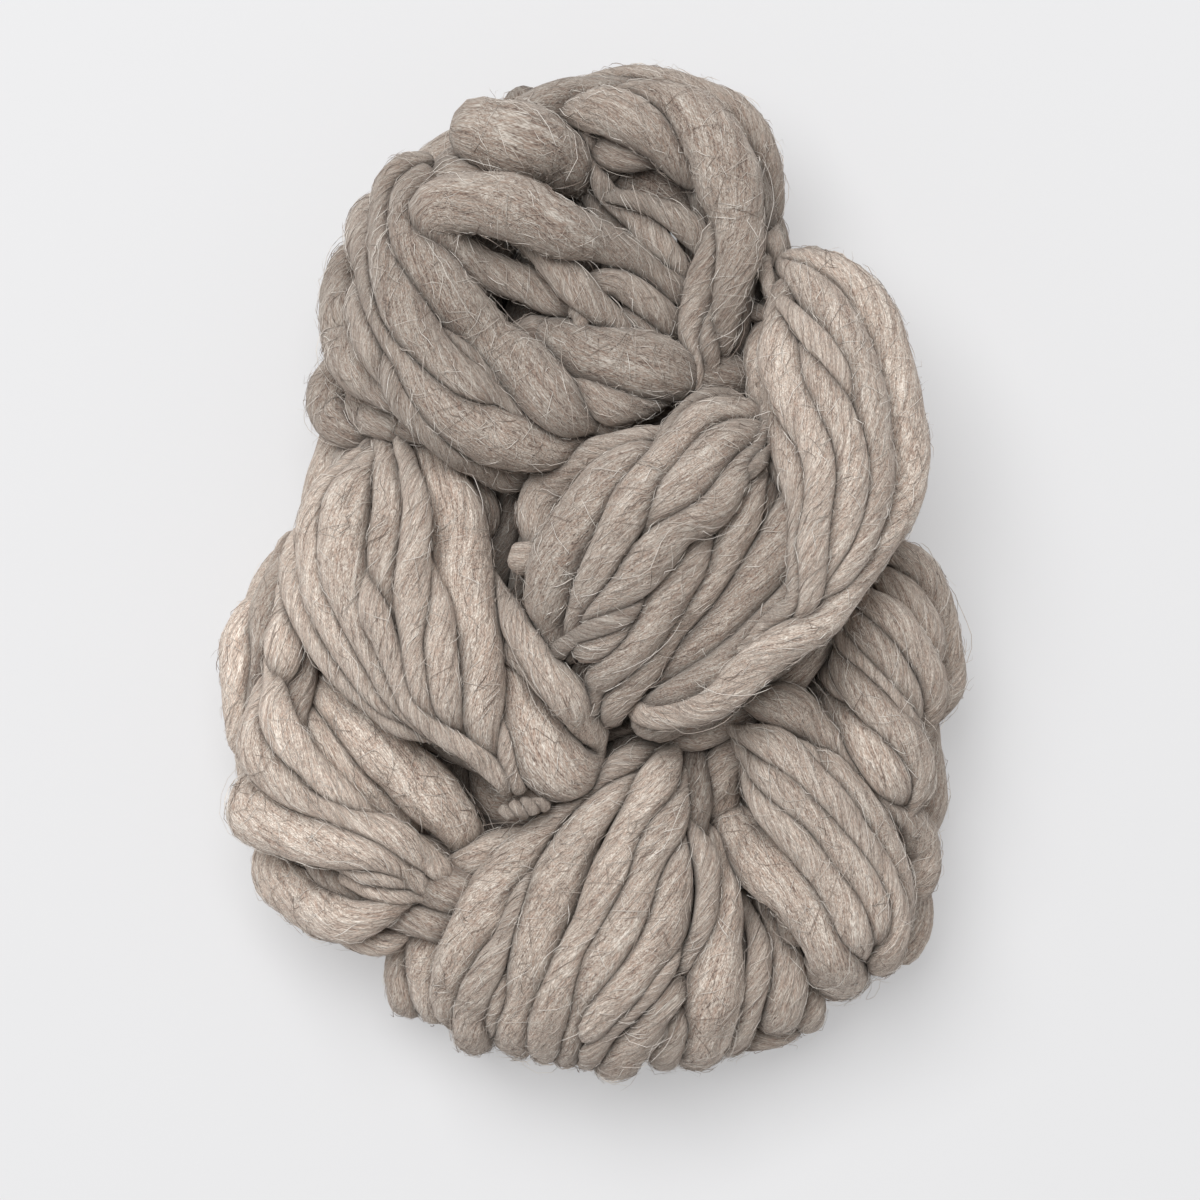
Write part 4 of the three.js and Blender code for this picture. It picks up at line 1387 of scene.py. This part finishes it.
# Pale table, soft studio light from the upper left, and the camera straight above. In metres.
studio = {
    "table": "#adadae",
    "tableRoughness": 0.7,
    "tableReach": 3,        # from its middle to its edge
    "paintedGlow": "#d0d0d1",      # painted light: the table glows, though it is no lamp, so its shadows stay pale
    "paintedGlowPower": 0.55,
    "sky": 0.395,
    "keySize": 2.1,
    "keyPower": 101.0,
    "keyPlace": (-0.62, 1.12, 3.1),
    "sensor": 36,           # width of the camera's sensor in mm
    "farthest": 20,
}


def buildStudio():
    scene = bpy.context.scene
    bm = bmesh.new()
    bmesh.ops.create_grid(bm, x_segments=1, y_segments=1, size=studio["tableReach"])
    mesh = bpy.data.meshes.new("table")
    bm.to_mesh(mesh)
    bm.free()
    table = bpy.data.objects.new("table", mesh)
    scene.collection.objects.link(table)
    # Matt white laminate: even, pale and with no reflection of the hank. It also glows evenly, though
    # it is no lamp: painted light that keeps the shadows on it pale.
    material = bpy.data.materials.new("matt white laminate")
    material.use_nodes = True
    shader = material.node_tree.nodes["Principled BSDF"]
    shader.inputs["Base Color"].default_value = toLinear(studio["table"])
    shader.inputs["Roughness"].default_value = studio["tableRoughness"]
    shader.inputs["Emission Color"].default_value = toLinear(studio["paintedGlow"])
    shader.inputs["Emission Strength"].default_value = studio["paintedGlowPower"]
    mesh.materials.append(material)

    world = bpy.data.worlds.new("studio")
    scene.world = world
    world.use_nodes = True
    world.node_tree.nodes["Background"].inputs["Color"].default_value = (1, 1, 1, 1)
    world.node_tree.nodes["Background"].inputs["Strength"].default_value = studio["sky"]

    key = bpy.data.lights.new("key", "AREA")
    key.energy = studio["keyPower"]
    key.size = studio["keySize"]
    keyHolder = bpy.data.objects.new("key", key)
    keyHolder.location = studio["keyPlace"]
    keyHolder.rotation_euler = (-Vector(studio["keyPlace"])).to_track_quat("-Z", "Y").to_euler()
    scene.collection.objects.link(keyHolder)

    # The lens that shows the photo's frame at its own scale, at the height of levelHeight.
    camera = bpy.data.cameras.new("camera")
    camera.sensor_width = studio["sensor"]
    level = photo["cameraHeight"] - photo["levelHeight"]
    camera.lens = studio["sensor"] * level / (photo["size"] * photo["mmPerPixel"])
    camera.clip_end = studio["farthest"]
    holder = bpy.data.objects.new("camera", camera)
    x, y = ((np.array(photo["centre"]) - photo["origin"]) * (1, -1) * photo["mmPerPixel"]) / 1000
    holder.location = (x, y, photo["cameraHeight"] / 1000)
    scene.collection.objects.link(holder)
    scene.camera = holder
    scene.view_settings.view_transform = "Standard"


print("setting up the table, light and camera")
buildStudio()
